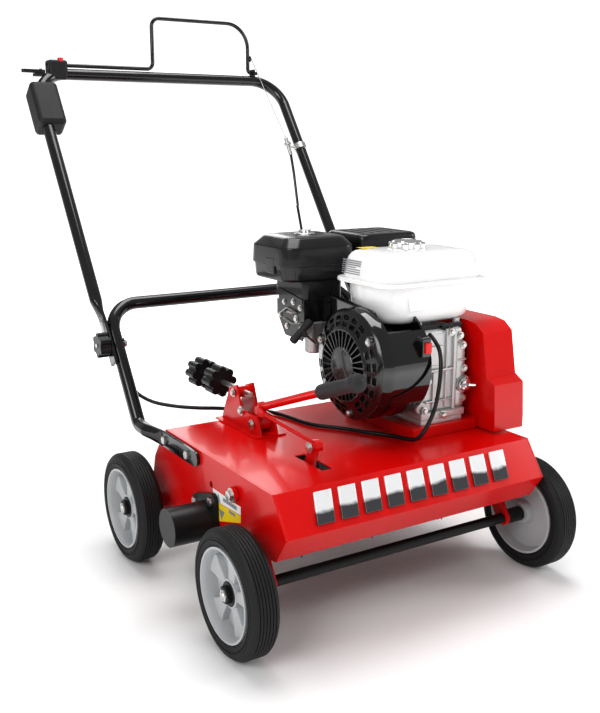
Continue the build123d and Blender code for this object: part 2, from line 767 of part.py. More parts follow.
def upper_handle():
    x = -upper_handle_x
    handle = upper_tube(upper_radius - handle_wall)
    inner_x = -lower_handle_x - handle_radius - moving_gap
    flat_x = inner_x - flat_thickness / 2
    flat = extrude(slope_plane(flat_x, -40) * Rectangle(flat_thickness, flat_width), amount=86)
    flat += loft([slope_plane(flat_x, 46) * Rectangle(flat_thickness, flat_width),
                  slope_plane(x, tube_start) * Circle(upper_radius)])
    flat -= cylinder_x(fold_bolt_radius + running_gap, -400, 0, fold_y, fold_z)
    handle += flat
    handle += mirror(flat, about=Plane.YZ)
    pivot = slope_point(0, upper_length)
    hook = Pos(hook_x, pivot[1], pivot[2] + bail_lift / 2) * Box(4, 20, bail_lift + 16)
    hook -= Pos(hook_x, pivot[1], pivot[2]) * Rot(0, 90, 0) * Cylinder(upper_radius - 1, 20)
    hook -= Pos(hook_x, pivot[1], pivot[2] + bail_lift) * Rot(0, 90, 0) * Cylinder(bail_radius + running_gap, 20)
    return handle + hook


def control_box():
    """Switch box clamped round the left tube, with the bail's pivot block above it."""
    box = slope_plane(-upper_handle_x + 8, control_box_distance) * Pos(0, 6, 0) * Box(58, 52, control_box_length)
    box = fillet(box.edges(), 10)
    top = slope_point(-244, upper_length)
    pivot_block = Pos(top[0], top[1], top[2] + 8) * Box(40, 34, 40)
    pivot_block = fillet(pivot_block.edges(), 6)
    shelf = Pos(top[0] - 30, top[1], top[2] - 3) * Box(36, 22, 6)
    pivot_block += shelf + Pos(paddle_spot()) * Pos(0, 0, 3) * Cylinder(3, 12)
    pivot_block -= Pos(top[0], top[1], top[2] + bail_lift) * Rot(0, 90, 0) * Cylinder(bail_radius + running_gap, 60)
    pivot_block -= button_spot() * Cylinder(button_radius + running_gap, 24)
    tube = upper_tube(0)
    return Compound(children=[box - tube, pivot_block - tube])


def button_spot():
    top = slope_point(-238, upper_length)
    return Pos(top[0], top[1] - 10.5, top[2] + 24)


def safety_button():
    return button_spot() * Pos(0, 0, 1.5) * Cylinder(button_radius, 14)


def paddle_spot():
    top = slope_point(-278, upper_length)
    return Vector(top[0], top[1], top[2] + 0.5)


def throttle_paddle():
    outline = make_hull((Sketch() + [Circle(9), Pos(-36, -6) * Circle(6)]).edges())
    return Pos(paddle_spot()) * extrude(outline - Circle(3 + running_gap), amount=7)


def bail_pivot():
    return slope_point(0, upper_length)


def bail():
    _, y, z = bail_pivot()
    z += bail_lift
    top = z + bail_height
    points = [(-bail_left_x, y, z), (-25, y, z), (-25, y, top), (216, y, top), (216, y, z), (240, y, z)]
    rod = pipe(points, [14, 18, 55, 9], bail_radius)
    eyelet = Pos(bail_eye_x, y, z + bail_eye_lift) * Rot(0, 90, 0) * (Cylinder(7, 3) - Cylinder(3.2, 10))
    return rod + eyelet


# ---- cables ----
def clutch_wire():
    _, y, z = bail_pivot()
    start = (bail_eye_x + 3, y - 4, z + bail_lift + bail_eye_lift)
    return pipe([start, adjuster_top()], None, 0.9)


def adjuster_top():
    return (262, behind(788), 762)


def adjuster_bottom():
    return (264, behind(768), 724)


def cable_adjuster():
    start = Vector(*adjuster_top())
    end = Vector(*adjuster_bottom())
    along = (end - start).normalized()
    barrel = pipe([start, end], None, 4.5)
    barrel += pipe([start + along * 12, start + along * 18], None, 8)
    distance = 442
    ring = slope_plane(upper_handle_x, distance) * (Cylinder(upper_radius + 3, 14) - Cylinder(upper_radius, 20))
    middle = (start + end) * 0.5
    edge = slope_point(upper_handle_x - upper_radius - 1, distance)
    arm = pipe([tuple(middle), edge], None, 3.2)
    return barrel + (arm + ring)


def cable_seam():
    return (258, behind(728), 610)


def clutch_cable_upper():
    return pipe([adjuster_bottom(), (262, behind(752), 684), cable_seam()], [120], cable_radius)


def clutch_cable_lower():
    direction = (-4, -24, -74)
    next_point = tuple(Vector(*cable_seam()) + Vector(*direction))
    points = [cable_seam(), next_point, (250, behind(640), 420), (250, behind(520), 330),
              (246, behind(400), 330), (246, behind(300), 352), (250, behind(241), 352)]
    return pipe(points, [90, 60, 60, 90, 60], cable_radius)


def control_lead_upper():
    x = -upper_handle_x + 4
    rear = upper_radius + lead_radius + 0.5
    start = control_box_distance - control_box_length / 2 - 0.5
    return pipe([slope_point(x, start, rear), slope_point(x, lead_seam_distance, rear)], None, lead_radius)


def control_lead_lower():
    x = -upper_handle_x + 4
    rear = upper_radius + lead_radius + 0.5
    z = deck_top_z + lead_radius + 0.5
    points = [slope_point(x, lead_seam_distance, rear), slope_point(x, 95, rear), (-264, behind(552), 372),
              (-258, behind(505), 296), (-200, behind(430), 268), (-128, behind(388), 264),
              (-50, behind(340), z), (-30, behind(220), z), (30, behind(130), z), (60, behind(90), z),
              (62, behind(28), z + 6), (98, behind(20), 380), (112, behind(42), 430),
              (114, behind(68.5), 436)]
    radii = [40, 40, 40, 50, 60, 40, 50, 50, 30, 30, 18, 30, 16]
    return pipe(points, radii[:len(points) - 2], lead_radius)


def build_nodes():
    nodes["deck"] = deck()
    nodes["side_plates"] = side_plates()
    nodes["engine_platform"] = engine_platform()
    nodes["rear_axle"] = rear_axle()
    nodes["bearing_housings"] = bearing_housings()
    nodes["lower_handle"] = lower_handle()
    nodes["frame_bolts"] = frame_bolts()
    nodes["lift_bracket"] = lift_bracket()
    nodes["belt_guard"] = belt_guard() + idler_pivot()
    nodes["drive_belt"] = drive_belt()
    nodes["crankcase"] = crankcase()
    nodes["blower_housing"] = blower_housing()
    nodes["recoil_cover"] = recoil_cover()
    nodes["fuel_tank"] = fuel_tank()
    nodes["air_cleaner"] = air_cleaner()
    nodes["muffler"] = muffler()
    nodes["carburettor"] = carburettor()
    nodes["clutch_cable_lower"] = clutch_cable_lower()
    nodes["control_lead_lower"] = control_lead_lower()
    nodes["front_axle"] = front_axle()
    nodes["rocker_shaft"] = rocker_shaft()
    nodes["lift_lever"] = lift_lever()
    nodes["lever_grip"] = lever_grip()
    nodes["link_rod"] = link_rod()
    nodes["depth_screw"] = depth_screw()
    nodes["depth_knob"] = knob_on_screw(depth_knob_y)
    nodes["lock_knob"] = knob_on_screw(lock_knob_y)
    nodes["rotor_shaft"] = rotor_shaft()
    nodes["rotor_blades"] = rotor_blades()
    nodes["rotor_spacers"] = rotor_spacers()
    nodes["rotor_pulley"] = pulley(rotor_pulley_radius, rotor_shaft_radius, rotor_y, rotor_z)
    nodes["crankshaft"] = crankshaft()
    nodes["crank_pulley"] = pulley(crank_pulley_radius, crank_radius, crank_y, crank_z)
    nodes["idler_arm"] = idler_arm()
    nodes["idler_pulley"] = idler_pulley()
    nodes["fuel_cap"] = fuel_cap()
    nodes["oil_cap"] = oil_cap()
    nodes["switch_rocker"] = switch_rocker()
    nodes["choke_lever"] = choke_lever()
    nodes["starter_grip"] = starter_grip()
    nodes["starter_rope"] = starter_rope()
    nodes["upper_handle"] = upper_handle()
    nodes["control_box"] = control_box()
    nodes["left_fold_knob"] = fold_knob(1)
    nodes["right_fold_knob"] = fold_knob(-1)
    nodes["bail"] = bail()
    nodes["safety_button"] = safety_button()
    nodes["throttle_paddle"] = throttle_paddle()
    nodes["clutch_wire"] = clutch_wire()
    nodes["cable_adjuster"] = cable_adjuster()
    nodes["clutch_cable_upper"] = clutch_cable_upper()
    nodes["control_lead_upper"] = control_lead_upper()
    add_wheels()


build_nodes()
os.makedirs("parts", exist_ok=True)
for name, shape in nodes.items():
    export_step(shape, "parts/" + name + ".step")
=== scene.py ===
import json
import math
import bpy
from mathutils import Matrix, Vector

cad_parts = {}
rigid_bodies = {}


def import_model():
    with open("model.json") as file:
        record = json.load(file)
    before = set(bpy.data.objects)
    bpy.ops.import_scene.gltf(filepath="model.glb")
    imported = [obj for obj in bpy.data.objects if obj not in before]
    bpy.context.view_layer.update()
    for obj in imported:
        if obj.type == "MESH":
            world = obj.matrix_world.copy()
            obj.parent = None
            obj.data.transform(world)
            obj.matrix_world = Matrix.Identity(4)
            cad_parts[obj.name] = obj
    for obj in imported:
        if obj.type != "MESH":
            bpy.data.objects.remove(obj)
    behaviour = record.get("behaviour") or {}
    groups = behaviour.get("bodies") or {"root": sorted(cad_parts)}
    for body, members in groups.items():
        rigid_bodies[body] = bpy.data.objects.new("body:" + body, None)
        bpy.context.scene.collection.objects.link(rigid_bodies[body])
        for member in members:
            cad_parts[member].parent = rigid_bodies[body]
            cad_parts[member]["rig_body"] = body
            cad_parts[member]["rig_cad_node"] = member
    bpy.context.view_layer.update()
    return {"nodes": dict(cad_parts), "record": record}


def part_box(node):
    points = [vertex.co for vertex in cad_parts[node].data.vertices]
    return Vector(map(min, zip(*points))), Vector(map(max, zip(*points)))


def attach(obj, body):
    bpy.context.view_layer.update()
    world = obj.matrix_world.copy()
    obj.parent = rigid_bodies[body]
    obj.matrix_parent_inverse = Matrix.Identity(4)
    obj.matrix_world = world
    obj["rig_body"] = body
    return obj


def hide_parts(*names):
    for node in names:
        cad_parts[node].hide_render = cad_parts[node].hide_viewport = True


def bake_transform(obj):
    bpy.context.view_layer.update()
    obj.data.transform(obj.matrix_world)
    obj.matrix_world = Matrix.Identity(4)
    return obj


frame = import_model()
nodes = frame["nodes"]
frontAxleY = (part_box("front_left_rim")[0].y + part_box("front_left_rim")[1].y) / 2
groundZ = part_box("front_left_tyre")[0].z
done = set()


def behind(distance):
    return frontAxleY + distance


# small tools
def pickOnly(piece):
    bpy.ops.object.select_all(action="DESELECT")
    piece.select_set(True)
    bpy.context.view_layer.objects.active = piece


def applyModifiers(piece):
    pickOnly(piece)
    for modifier in list(piece.modifiers):
        bpy.ops.object.modifier_apply(modifier=modifier.name)


def applyPlace(piece):
    pickOnly(piece)
    bpy.ops.object.transform_apply(location=True, rotation=True, scale=True)


def tidyNormals(piece):
    pickOnly(piece)
    bpy.ops.object.mode_set(mode="EDIT")
    bpy.ops.mesh.select_all(action="SELECT")
    bpy.ops.mesh.remove_doubles(threshold=0.00001)
    bpy.ops.mesh.normals_make_consistent(inside=False)
    bpy.ops.object.mode_set(mode="OBJECT")


def bevelEdges(piece, width, segments=2, angle=30):
    bevel = piece.modifiers.new("edges", "BEVEL")
    bevel.width = width
    bevel.segments = segments
    bevel.limit_method = "ANGLE"
    bevel.angle_limit = math.radians(angle)
    bevel.use_clamp_overlap = True
    applyModifiers(piece)


def settle(piece, body, material, standsFor=(), angle=35, bend=None):
    pickOnly(piece)
    bpy.ops.object.shade_smooth_by_angle(angle=math.radians(angle))
    weighted = piece.modifiers.new("weighted", "WEIGHTED_NORMAL")
    weighted.keep_sharp = True
    weighted.weight = 90
    applyModifiers(piece)
    piece.data.materials.clear()
    piece.data.materials.append(material)
    if bend:
        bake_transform(piece)
    else:
        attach(piece, body)
    if standsFor:
        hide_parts(*standsFor)
        done.update(standsFor)
    return piece


def bodyOf(node):
    for name, members in frame["record"]["behaviour"]["bodies"].items():
        if node in members:
            return name
    return None


def roundedCopy(node, material, width=0.0008, segments=2, angle=30, smooth=35, bend=None):
    pickOnly(nodes[node])
    bpy.ops.object.duplicate()
    piece = bpy.context.view_layer.objects.active
    piece.name = node + "Shaped"
    piece.parent = None
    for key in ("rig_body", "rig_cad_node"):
        if key in piece:
            del piece[key]
    pickOnly(piece)
    bpy.ops.object.mode_set(mode="EDIT")
    bpy.ops.mesh.select_all(action="SELECT")
    bpy.ops.mesh.remove_doubles(threshold=0.00002)
    bpy.ops.mesh.dissolve_limited(angle_limit=math.radians(1.5))
    bpy.ops.object.mode_set(mode="OBJECT")
    if width:
        bevelEdges(piece, width, segments, angle)
    return settle(piece, bodyOf(node), material, [node], angle=smooth, bend=bend)


def drawLine(name, points):
    bpy.ops.object.select_all(action="DESELECT")
    bpy.ops.mesh.primitive_plane_add(size=0.002, location=points[0])
    piece = bpy.context.active_object
    piece.name = name
    piece.data.name = name
    applyPlace(piece)
    bpy.ops.object.mode_set(mode="EDIT")
    bpy.ops.mesh.select_mode(type="VERT")
    bpy.ops.mesh.select_all(action="SELECT")
    bpy.ops.mesh.merge(type="CENTER")
    for start, end in zip(points, points[1:]):
        step = Vector(end) - Vector(start)
        bpy.ops.mesh.extrude_region_move(TRANSFORM_OT_translate={"value": step})
    return piece


def lathe(name, profile, origin, axis, steps=64):
    axis = Vector(axis).normalized()
    side = axis.orthogonal().normalized()
    origin = Vector(origin)
    points = [origin + axis * along + side * radius for along, radius in profile]
    piece = drawLine(name, points)
    bpy.ops.mesh.select_all(action="SELECT")
    bpy.ops.mesh.spin(steps=steps, angle=math.tau, center=origin, axis=axis)
    bpy.ops.mesh.select_all(action="SELECT")
    bpy.ops.mesh.remove_doubles(threshold=0.00001)
    bpy.ops.mesh.normals_make_consistent(inside=False)
    bpy.ops.object.mode_set(mode="OBJECT")
    return piece


def plate(name, outline, depth, bevelWidth=0.0, segments=2):
    piece = drawLine(name, outline)
    bpy.ops.mesh.select_all(action="SELECT")
    bpy.ops.mesh.edge_face_add()
    bpy.ops.mesh.select_all(action="SELECT")
    bpy.ops.mesh.extrude_region_move(TRANSFORM_OT_translate={"value": Vector(depth)})
    bpy.ops.object.mode_set(mode="OBJECT")
    tidyNormals(piece)
    if bevelWidth:
        bevelEdges(piece, bevelWidth, segments)
    return piece


def block(name, low, high, bevelWidth=0.001, segments=2):
    low, high = Vector(low), Vector(high)
    bpy.ops.object.select_all(action="DESELECT")
    bpy.ops.mesh.primitive_cube_add(size=1, location=(low + high) / 2)
    piece = bpy.context.active_object
    piece.name = name
    piece.scale = high - low
    applyPlace(piece)
    if bevelWidth:
        bevelEdges(piece, bevelWidth, segments)
    return piece


def joined(name, pieces):
    bpy.ops.object.select_all(action="DESELECT")
    for piece in pieces:
        piece.select_set(True)
    bpy.context.view_layer.objects.active = pieces[0]
    bpy.ops.object.join()
    pieces[0].name = name
    pieces[0].data.name = name
    return pieces[0]


def copyTurned(piece, turn, shift=(0, 0, 0)):
    twin = piece.copy()
    twin.data = piece.data.copy()
    bpy.context.scene.collection.objects.link(twin)
    twin.data.transform(Matrix.Translation(Vector(shift)) @ turn)
    return twin


def aroundAxis(angle, axis, origin):
    origin = Vector(origin)
    turn = Matrix.Rotation(angle, 4, Vector(axis))
    return Matrix.Translation(origin) @ turn @ Matrix.Translation(-origin)


def bentWire(name, points, radius, roundness=5, steps=8):
    # smooth wire or cable guided by its listed points
    curve = bpy.data.curves.new(name, "CURVE")
    curve.dimensions = "3D"
    curve.bevel_depth = radius
    curve.bevel_resolution = roundness
    curve.resolution_u = steps
    curve.use_fill_caps = True
    spline = curve.splines.new("NURBS")
    spline.points.add(len(points) - 1)
    for knot, place in zip(spline.points, points):
        knot.co = (*place, 1)
    spline.order_u = 3
    spline.use_endpoint_u = True
    piece = bpy.data.objects.new(name, curve)
    bpy.context.scene.collection.objects.link(piece)
    pickOnly(piece)
    bpy.ops.object.convert(target="MESH")
    piece = bpy.context.active_object
    tidyNormals(piece)
    return piece


# shared material effects
def newGroup(name, inputs, outputs):
    group = bpy.data.node_groups.new(name, "ShaderNodeTree")
    for label, kind, value in inputs:
        socket = group.interface.new_socket(name=label, in_out="INPUT", socket_type=kind)
        socket.default_value = value
    for label, kind in outputs:
        group.interface.new_socket(name=label, in_out="OUTPUT", socket_type=kind)
    start = group.nodes.new("NodeGroupInput")
    end = group.nodes.new("NodeGroupOutput")
    return group, start, end


def addNode(tree, kind, **values):
    node = tree.nodes.new(kind)
    for key, value in values.items():
        if hasattr(node, key):
            setattr(node, key, value)
        else:
            node.inputs[key].default_value = value
    return node


def unevenTone():
    group, start, end = newGroup("unevenTone",
                                 [("Color", "NodeSocketColor", (0.5, 0.5, 0.5, 1)),
                                  ("Scale", "NodeSocketFloat", 20),
                                  ("Amount", "NodeSocketFloat", 0.1)],
                                 [("Color", "NodeSocketColor"), ("Mask", "NodeSocketFloat")])
    place = addNode(group, "ShaderNodeTexCoord")
    noise = addNode(group, "ShaderNodeTexNoise", Detail=6.0, Roughness=0.62)
    value = addNode(group, "ShaderNodeHueSaturation")
    spread = addNode(group, "ShaderNodeMath", operation="MULTIPLY_ADD")
    amount = addNode(group, "ShaderNodeMath", operation="MULTIPLY")
    link = group.links.new
    link(place.outputs["Object"], noise.inputs["Vector"])
    link(start.outputs["Scale"], noise.inputs["Scale"])
    shift = addNode(group, "ShaderNodeMath", operation="SUBTRACT")
    shift.inputs[1].default_value = 0.5
    link(noise.outputs["Fac"], shift.inputs[0])
    link(shift.outputs[0], amount.inputs[0])
    link(start.outputs["Amount"], amount.inputs[1])
    link(amount.outputs[0], spread.inputs[0])
    spread.inputs[1].default_value = 2
    spread.inputs[2].default_value = 1
    link(spread.outputs[0], value.inputs["Value"])
    link(start.outputs["Color"], value.inputs["Color"])
    link(value.outputs["Color"], end.inputs["Color"])
    link(noise.outputs["Fac"], end.inputs["Mask"])
    return group


def fineGrain():
    group, start, end = newGroup("fineGrain",
                                 [("Scale", "NodeSocketFloat", 600), ("Stretch", "NodeSocketVector", (1, 1, 1))],
                                 [("Height", "NodeSocketFloat"), ("Mask", "NodeSocketFloat")])
    place = addNode(group, "ShaderNodeTexCoord")
    stretch = addNode(group, "ShaderNodeMapping")
    noise = addNode(group, "ShaderNodeTexNoise", Detail=4.0, Roughness=0.6)
    cells = addNode(group, "ShaderNodeTexVoronoi")
    both = addNode(group, "ShaderNodeMath", operation="MULTIPLY_ADD")
    link = group.links.new
    link(place.outputs["Object"], stretch.inputs["Vector"])
    link(start.outputs["Stretch"], stretch.inputs["Scale"])
    for texture in (noise, cells):
        link(stretch.outputs["Vector"], texture.inputs["Vector"])
        link(start.outputs["Scale"], texture.inputs["Scale"])
    link(cells.outputs["Distance"], both.inputs[0])
    both.inputs[1].default_value = 0.4
    link(noise.outputs["Fac"], both.inputs[2])
    link(both.outputs[0], end.inputs["Height"])
    link(noise.outputs["Fac"], end.inputs["Mask"])
    return group


def edgeWear():
    group, start, end = newGroup("edgeWear",
                                 [("Radius", "NodeSocketFloat", 0.0015), ("Amount", "NodeSocketFloat", 0.5)],
                                 [("Mask", "NodeSocketFloat")])
    softNormal = addNode(group, "ShaderNodeBevel", samples=4)
    plain = addNode(group, "ShaderNodeNewGeometry")
    place = addNode(group, "ShaderNodeTexCoord")
    dot = addNode(group, "ShaderNodeVectorMath", operation="DOT_PRODUCT")
    curve = addNode(group, "ShaderNodeMapRange")
    curve.inputs["From Min"].default_value = 0.995
    curve.inputs["From Max"].default_value = 0.9
    noise = addNode(group, "ShaderNodeTexNoise", Scale=180.0, Detail=5.0)
    patch = addNode(group, "ShaderNodeMapRange")
    patch.inputs["From Min"].default_value = 0.48
    patch.inputs["From Max"].default_value = 0.66
    both = addNode(group, "ShaderNodeMath", operation="MULTIPLY")
    scaled = addNode(group, "ShaderNodeMath", operation="MULTIPLY")
    link = group.links.new
    link(start.outputs["Radius"], softNormal.inputs["Radius"])
    link(softNormal.outputs["Normal"], dot.inputs[0])
    link(plain.outputs["Normal"], dot.inputs[1])
    link(dot.outputs["Value"], curve.inputs["Value"])
    link(place.outputs["Object"], noise.inputs["Vector"])
    link(noise.outputs["Fac"], patch.inputs["Value"])
    link(curve.outputs["Result"], both.inputs[0])
    link(patch.outputs["Result"], both.inputs[1])
    link(both.outputs[0], scaled.inputs[0])
    link(start.outputs["Amount"], scaled.inputs[1])
    link(scaled.outputs[0], end.inputs["Mask"])
    return group


effects = {"tone": unevenTone(), "grain": fineGrain(), "wear": edgeWear()}


def useGroup(tree, group, **values):
    node = tree.nodes.new("ShaderNodeGroup")
    node.node_tree = group
    for key, value in values.items():
        node.inputs[key].default_value = value
    return node


def surface(name, look):
    material = bpy.data.materials.new(name)
    material.use_nodes = True
    tree = material.node_tree
    shader = tree.nodes["Principled BSDF"]
    link = tree.links.new
    color = (*look["color"], 1)
    tone = useGroup(tree, effects["tone"], Color=color, Scale=look.get("toneScale", 14),
                    Amount=look.get("tone", 0.06))
    colorOut = tone.outputs["Color"]
    if look.get("wear"):
        wear = useGroup(tree, effects["wear"], Radius=look.get("wearRadius", 0.0012), Amount=look["wear"])
        mix = addNode(tree, "ShaderNodeMix", data_type="RGBA")
        mix.inputs[7].default_value = (*look.get("wearColor", (0.3, 0.3, 0.3)), 1)
        link(wear.outputs["Mask"], mix.inputs[0])
        link(colorOut, mix.inputs[6])
        colorOut = mix.outputs[2]
    link(colorOut, shader.inputs["Base Color"])
    rough = addNode(tree, "ShaderNodeMapRange")
    rough.inputs["To Min"].default_value = look["rough"][0]
    rough.inputs["To Max"].default_value = look["rough"][1]
    link(tone.outputs["Mask"], rough.inputs["Value"])
    link(rough.outputs["Result"], shader.inputs["Roughness"])
    grain = useGroup(tree, effects["grain"], Scale=look.get("grainScale", 500),
                     Stretch=look.get("stretch", (1, 1, 1)))
    bump = addNode(tree, "ShaderNodeBump", Strength=look.get("bump", 0.1), Distance=look.get("bumpDepth", 0.0003))
    link(grain.outputs["Height"], bump.inputs["Height"])
    link(bump.outputs["Normal"], shader.inputs["Normal"])
    shader.inputs["Metallic"].default_value = look.get("metal", 0)
    shader.inputs["Coat Weight"].default_value = look.get("coat", 0)
    shader.inputs["Coat Roughness"].default_value = look.get("coatRough", 0.05)
    shader.inputs["Specular IOR Level"].default_value = look.get("specular", 0.5)
    return material


looks = {
    "redPaint": {"color": (0.6, 0.0025, 0.002), "rough": (0.2, 0.3), "specular": 0.3, "coat": 0.2,
                 "coatRough": 0.06, "tone": 0.05,
                 "grainScale": 260, "bump": 0.06, "wear": 0.25, "wearColor": (0.35, 0.02, 0.015)},
    "blackTube": {"specular": 0.3, "color": (0.006, 0.006, 0.007), "rough": (0.12, 0.26), "coat": 0.7,
                  "grainScale": 300, "bump": 0.05},
    "blackSteel": {"specular": 0.3, "color": (0.012, 0.012, 0.012), "rough": (0.3, 0.45), "grainScale": 400,
                   "bump": 0.1,
                   "wear": 0.5, "wearColor": (0.12, 0.12, 0.12)},
    "blackCover": {"specular": 0.3, "color": (0.008, 0.008, 0.009), "rough": (0.22, 0.36), "coat": 0.35,
                   "grainScale": 350, "bump": 0.08},
    "glossCover": {"color": (0.004, 0.004, 0.0045), "rough": (0.06, 0.14), "coat": 0.8, "grainScale": 200,
                   "bump": 0.03},
    "finPlastic": {"color": (0.006, 0.006, 0.0065), "rough": (0.16, 0.3), "coat": 0.4, "grainScale": 500,
                   "bump": 0.08,
                   "wear": 0.9, "wearRadius": 0.0008, "wearColor": (0.3, 0.3, 0.3)},
    "blackPlastic": {"specular": 0.3, "color": (0.016, 0.016, 0.017), "rough": (0.42, 0.6), "grainScale": 900,
                     "bump": 0.35},
    "smoothPlastic": {"specular": 0.3, "color": (0.012, 0.012, 0.013), "rough": (0.28, 0.42), "grainScale": 700,
                      "bump": 0.12},
    "gripRubber": {"specular": 0.3, "color": (0.03, 0.03, 0.032), "rough": (0.5, 0.7), "grainScale": 800,
                   "bump": 0.4},
    "zinc": {"color": (0.6, 0.6, 0.58), "rough": (0.22, 0.42), "metal": 1.0, "tone": 0.12, "grainScale": 500,
             "bump": 0.15},
    "castAlloy": {"color": (0.56, 0.56, 0.56), "rough": (0.36, 0.55), "metal": 0.85, "tone": 0.1, "toneScale": 30,
                  "grainScale": 420, "bump": 0.6, "bumpDepth": 0.0005},
    "chrome": {"color": (0.75, 0.75, 0.76), "rough": (0.05, 0.14), "metal": 1.0, "tone": 0.04, "grainScale": 200,
               "bump": 0.03},
    "whitePaint": {"color": (0.86, 0.86, 0.86), "rough": (0.2, 0.32), "coat": 0.5, "tone": 0.015, "grainScale": 240,
                   "bump": 0.05},
    "greyPlastic": {"color": (0.44, 0.45, 0.46), "rough": (0.36, 0.5), "tone": 0.05, "grainScale": 800,
                    "bump": 0.2},
    "tyreRubber": {"specular": 0.3, "color": (0.014, 0.014, 0.015), "rough": (0.5, 0.68), "tone": 0.2,
                   "grainScale": 500, "bump": 0.4},
    "bladeSteel": {"color": (0.16, 0.16, 0.165), "rough": (0.3, 0.5), "metal": 0.9, "tone": 0.2, "grainScale": 300,
                   "bump": 0.3, "stretch": (1, 4, 4)},
    "castIron": {"color": (0.07, 0.07, 0.07), "rough": (0.4, 0.6), "metal": 0.8, "tone": 0.2, "grainScale": 400,
                 "bump": 0.5},
    "redPlastic": {"color": (0.7, 0.01, 0.01), "rough": (0.25, 0.35), "grainScale": 500, "bump": 0.08},
    "wire": {"color": (0.55, 0.55, 0.56), "rough": (0.25, 0.4), "metal": 1.0, "grainScale": 900, "bump": 0.5},
    "rope": {"color": (0.02, 0.02, 0.022), "rough": (0.8, 0.95), "grainScale": 900, "bump": 0.9},
    "yellowLabel": {"color": (0.85, 0.62, 0.02), "rough": (0.3, 0.4), "tone": 0.03, "grainScale": 300,
                    "bump": 0.05},
    "whiteLabel": {"color": (0.82, 0.82, 0.8), "rough": (0.3, 0.4), "tone": 0.02, "grainScale": 300, "bump": 0.05},
    "greyPrint": {"color": (0.25, 0.26, 0.28), "rough": (0.4, 0.5), "tone": 0.04, "grainScale": 300, "bump": 0.05},
}
paints = {name: surface(name, look) for name, look in looks.items()}


def paintReflectedRoom(material, low, high):
    # painted reflection: base colour bright above a broken line and dark below it, as polished metal reflects a
    # room
    tree = material.node_tree
    shader = tree.nodes["Principled BSDF"]
    place = addNode(tree, "ShaderNodeTexCoord")
    split = addNode(tree, "ShaderNodeSeparateXYZ")
    noise = addNode(tree, "ShaderNodeTexNoise", Scale=38.0, Detail=4.0)
    shift = addNode(tree, "ShaderNodeMath", operation="MULTIPLY_ADD")
    shift.inputs[1].default_value = 0.012
    band = addNode(tree, "ShaderNodeMapRange")
    band.inputs["From Min"].default_value = low
    band.inputs["From Max"].default_value = high
    mix = addNode(tree, "ShaderNodeMix", data_type="RGBA")
    mix.inputs[6].default_value = (0.06, 0.06, 0.065, 1)
    mix.inputs[7].default_value = (0.95, 0.95, 0.96, 1)
    link = tree.links.new
    link(place.outputs["Object"], split.inputs[0])
    link(place.outputs["Object"], noise.inputs["Vector"])
    link(noise.outputs["Fac"], shift.inputs[0])
    link(split.outputs["Z"], shift.inputs[2])
    link(shift.outputs[0], band.inputs["Value"])
    link(band.outputs["Result"], mix.inputs[0])
    link(mix.outputs[2], shader.inputs["Base Color"])
    shader.inputs["Metallic"].default_value = 0.35


# the trim's chrome gets a painted reflection, dark below a line and bright above it
paints["trimChrome"] = surface("trimChrome", {"color": (0.8, 0.8, 0.8), "rough": (0.06, 0.16), "coat": 0.6})
paintReflectedRoom(paints["trimChrome"], 0.2295, 0.2345)
print("materials made")

# camera, light and floor
cameraSetup = {"azimuth": -31.809, "elevation": 12.921, "place": (-0.8976, -1.1447, 0.756), "lens": 47.42}


def addCamera():
    azimuth = math.radians(cameraSetup["azimuth"])
    elevation = math.radians(cameraSetup["elevation"])
    back = Vector((math.sin(azimuth) * math.cos(elevation), -math.cos(azimuth) * math.cos(elevation),
                   math.sin(elevation)))
    data = bpy.data.cameras.new("camera")
    data.lens = cameraSetup["lens"]
    data.sensor_width = 36
    camera = bpy.data.objects.new("camera", data)
    x, y, z = cameraSetup["place"]
    camera.location = (x, behind(y), z + groundZ)
    camera.rotation_euler = (-back).to_track_quat("-Z", "Y").to_euler()
    bpy.context.scene.collection.objects.link(camera)
    bpy.context.scene.camera = camera


lights = {
    "leftSoftbox": {"place": (-2.4, -1.5, 1.9), "size": 1.5, "power": 34},
    "topSoftbox": {"place": (0.2, 0.3, 2.8), "size": 1.8, "power": 42},
    "rightStrip": {"place": (2.2, -1.3, 1.3), "size": 0.9, "power": 16},
    "backStrip": {"place": (0.8, 2.6, 1.6), "size": 1.4, "power": 14},
}


def addLights():
    for name, light in lights.items():
        data = bpy.data.lights.new(name, "AREA")
        data.size = light["size"]
        data.energy = light["power"]
        lamp = bpy.data.objects.new(name, data)
        lamp.location = light["place"]
        aim = Vector((0, 0, 0.35)) - lamp.location
        lamp.rotation_euler = aim.to_track_quat("-Z", "Y").to_euler()
        bpy.context.scene.collection.objects.link(lamp)
    world = bpy.data.worlds.new("studio")
    world.use_nodes = True
    sky = world.node_tree.nodes["Background"]
    sky.inputs["Color"].default_value = (1, 1, 1, 1)
    # bright behind the object, dimmer in what it reflects
    ray = addNode(world.node_tree, "ShaderNodeLightPath")
    strength = addNode(world.node_tree, "ShaderNodeMapRange")
    strength.inputs["To Min"].default_value = 0.36
    strength.inputs["To Max"].default_value = 1.0
    world.node_tree.links.new(ray.outputs["Is Camera Ray"], strength.inputs["Value"])
    world.node_tree.links.new(strength.outputs["Result"], sky.inputs["Strength"])
    bpy.context.scene.world = world
    bpy.context.scene.view_settings.view_transform = "Standard"
    bpy.context.scene.view_settings.look = "Medium High Contrast"


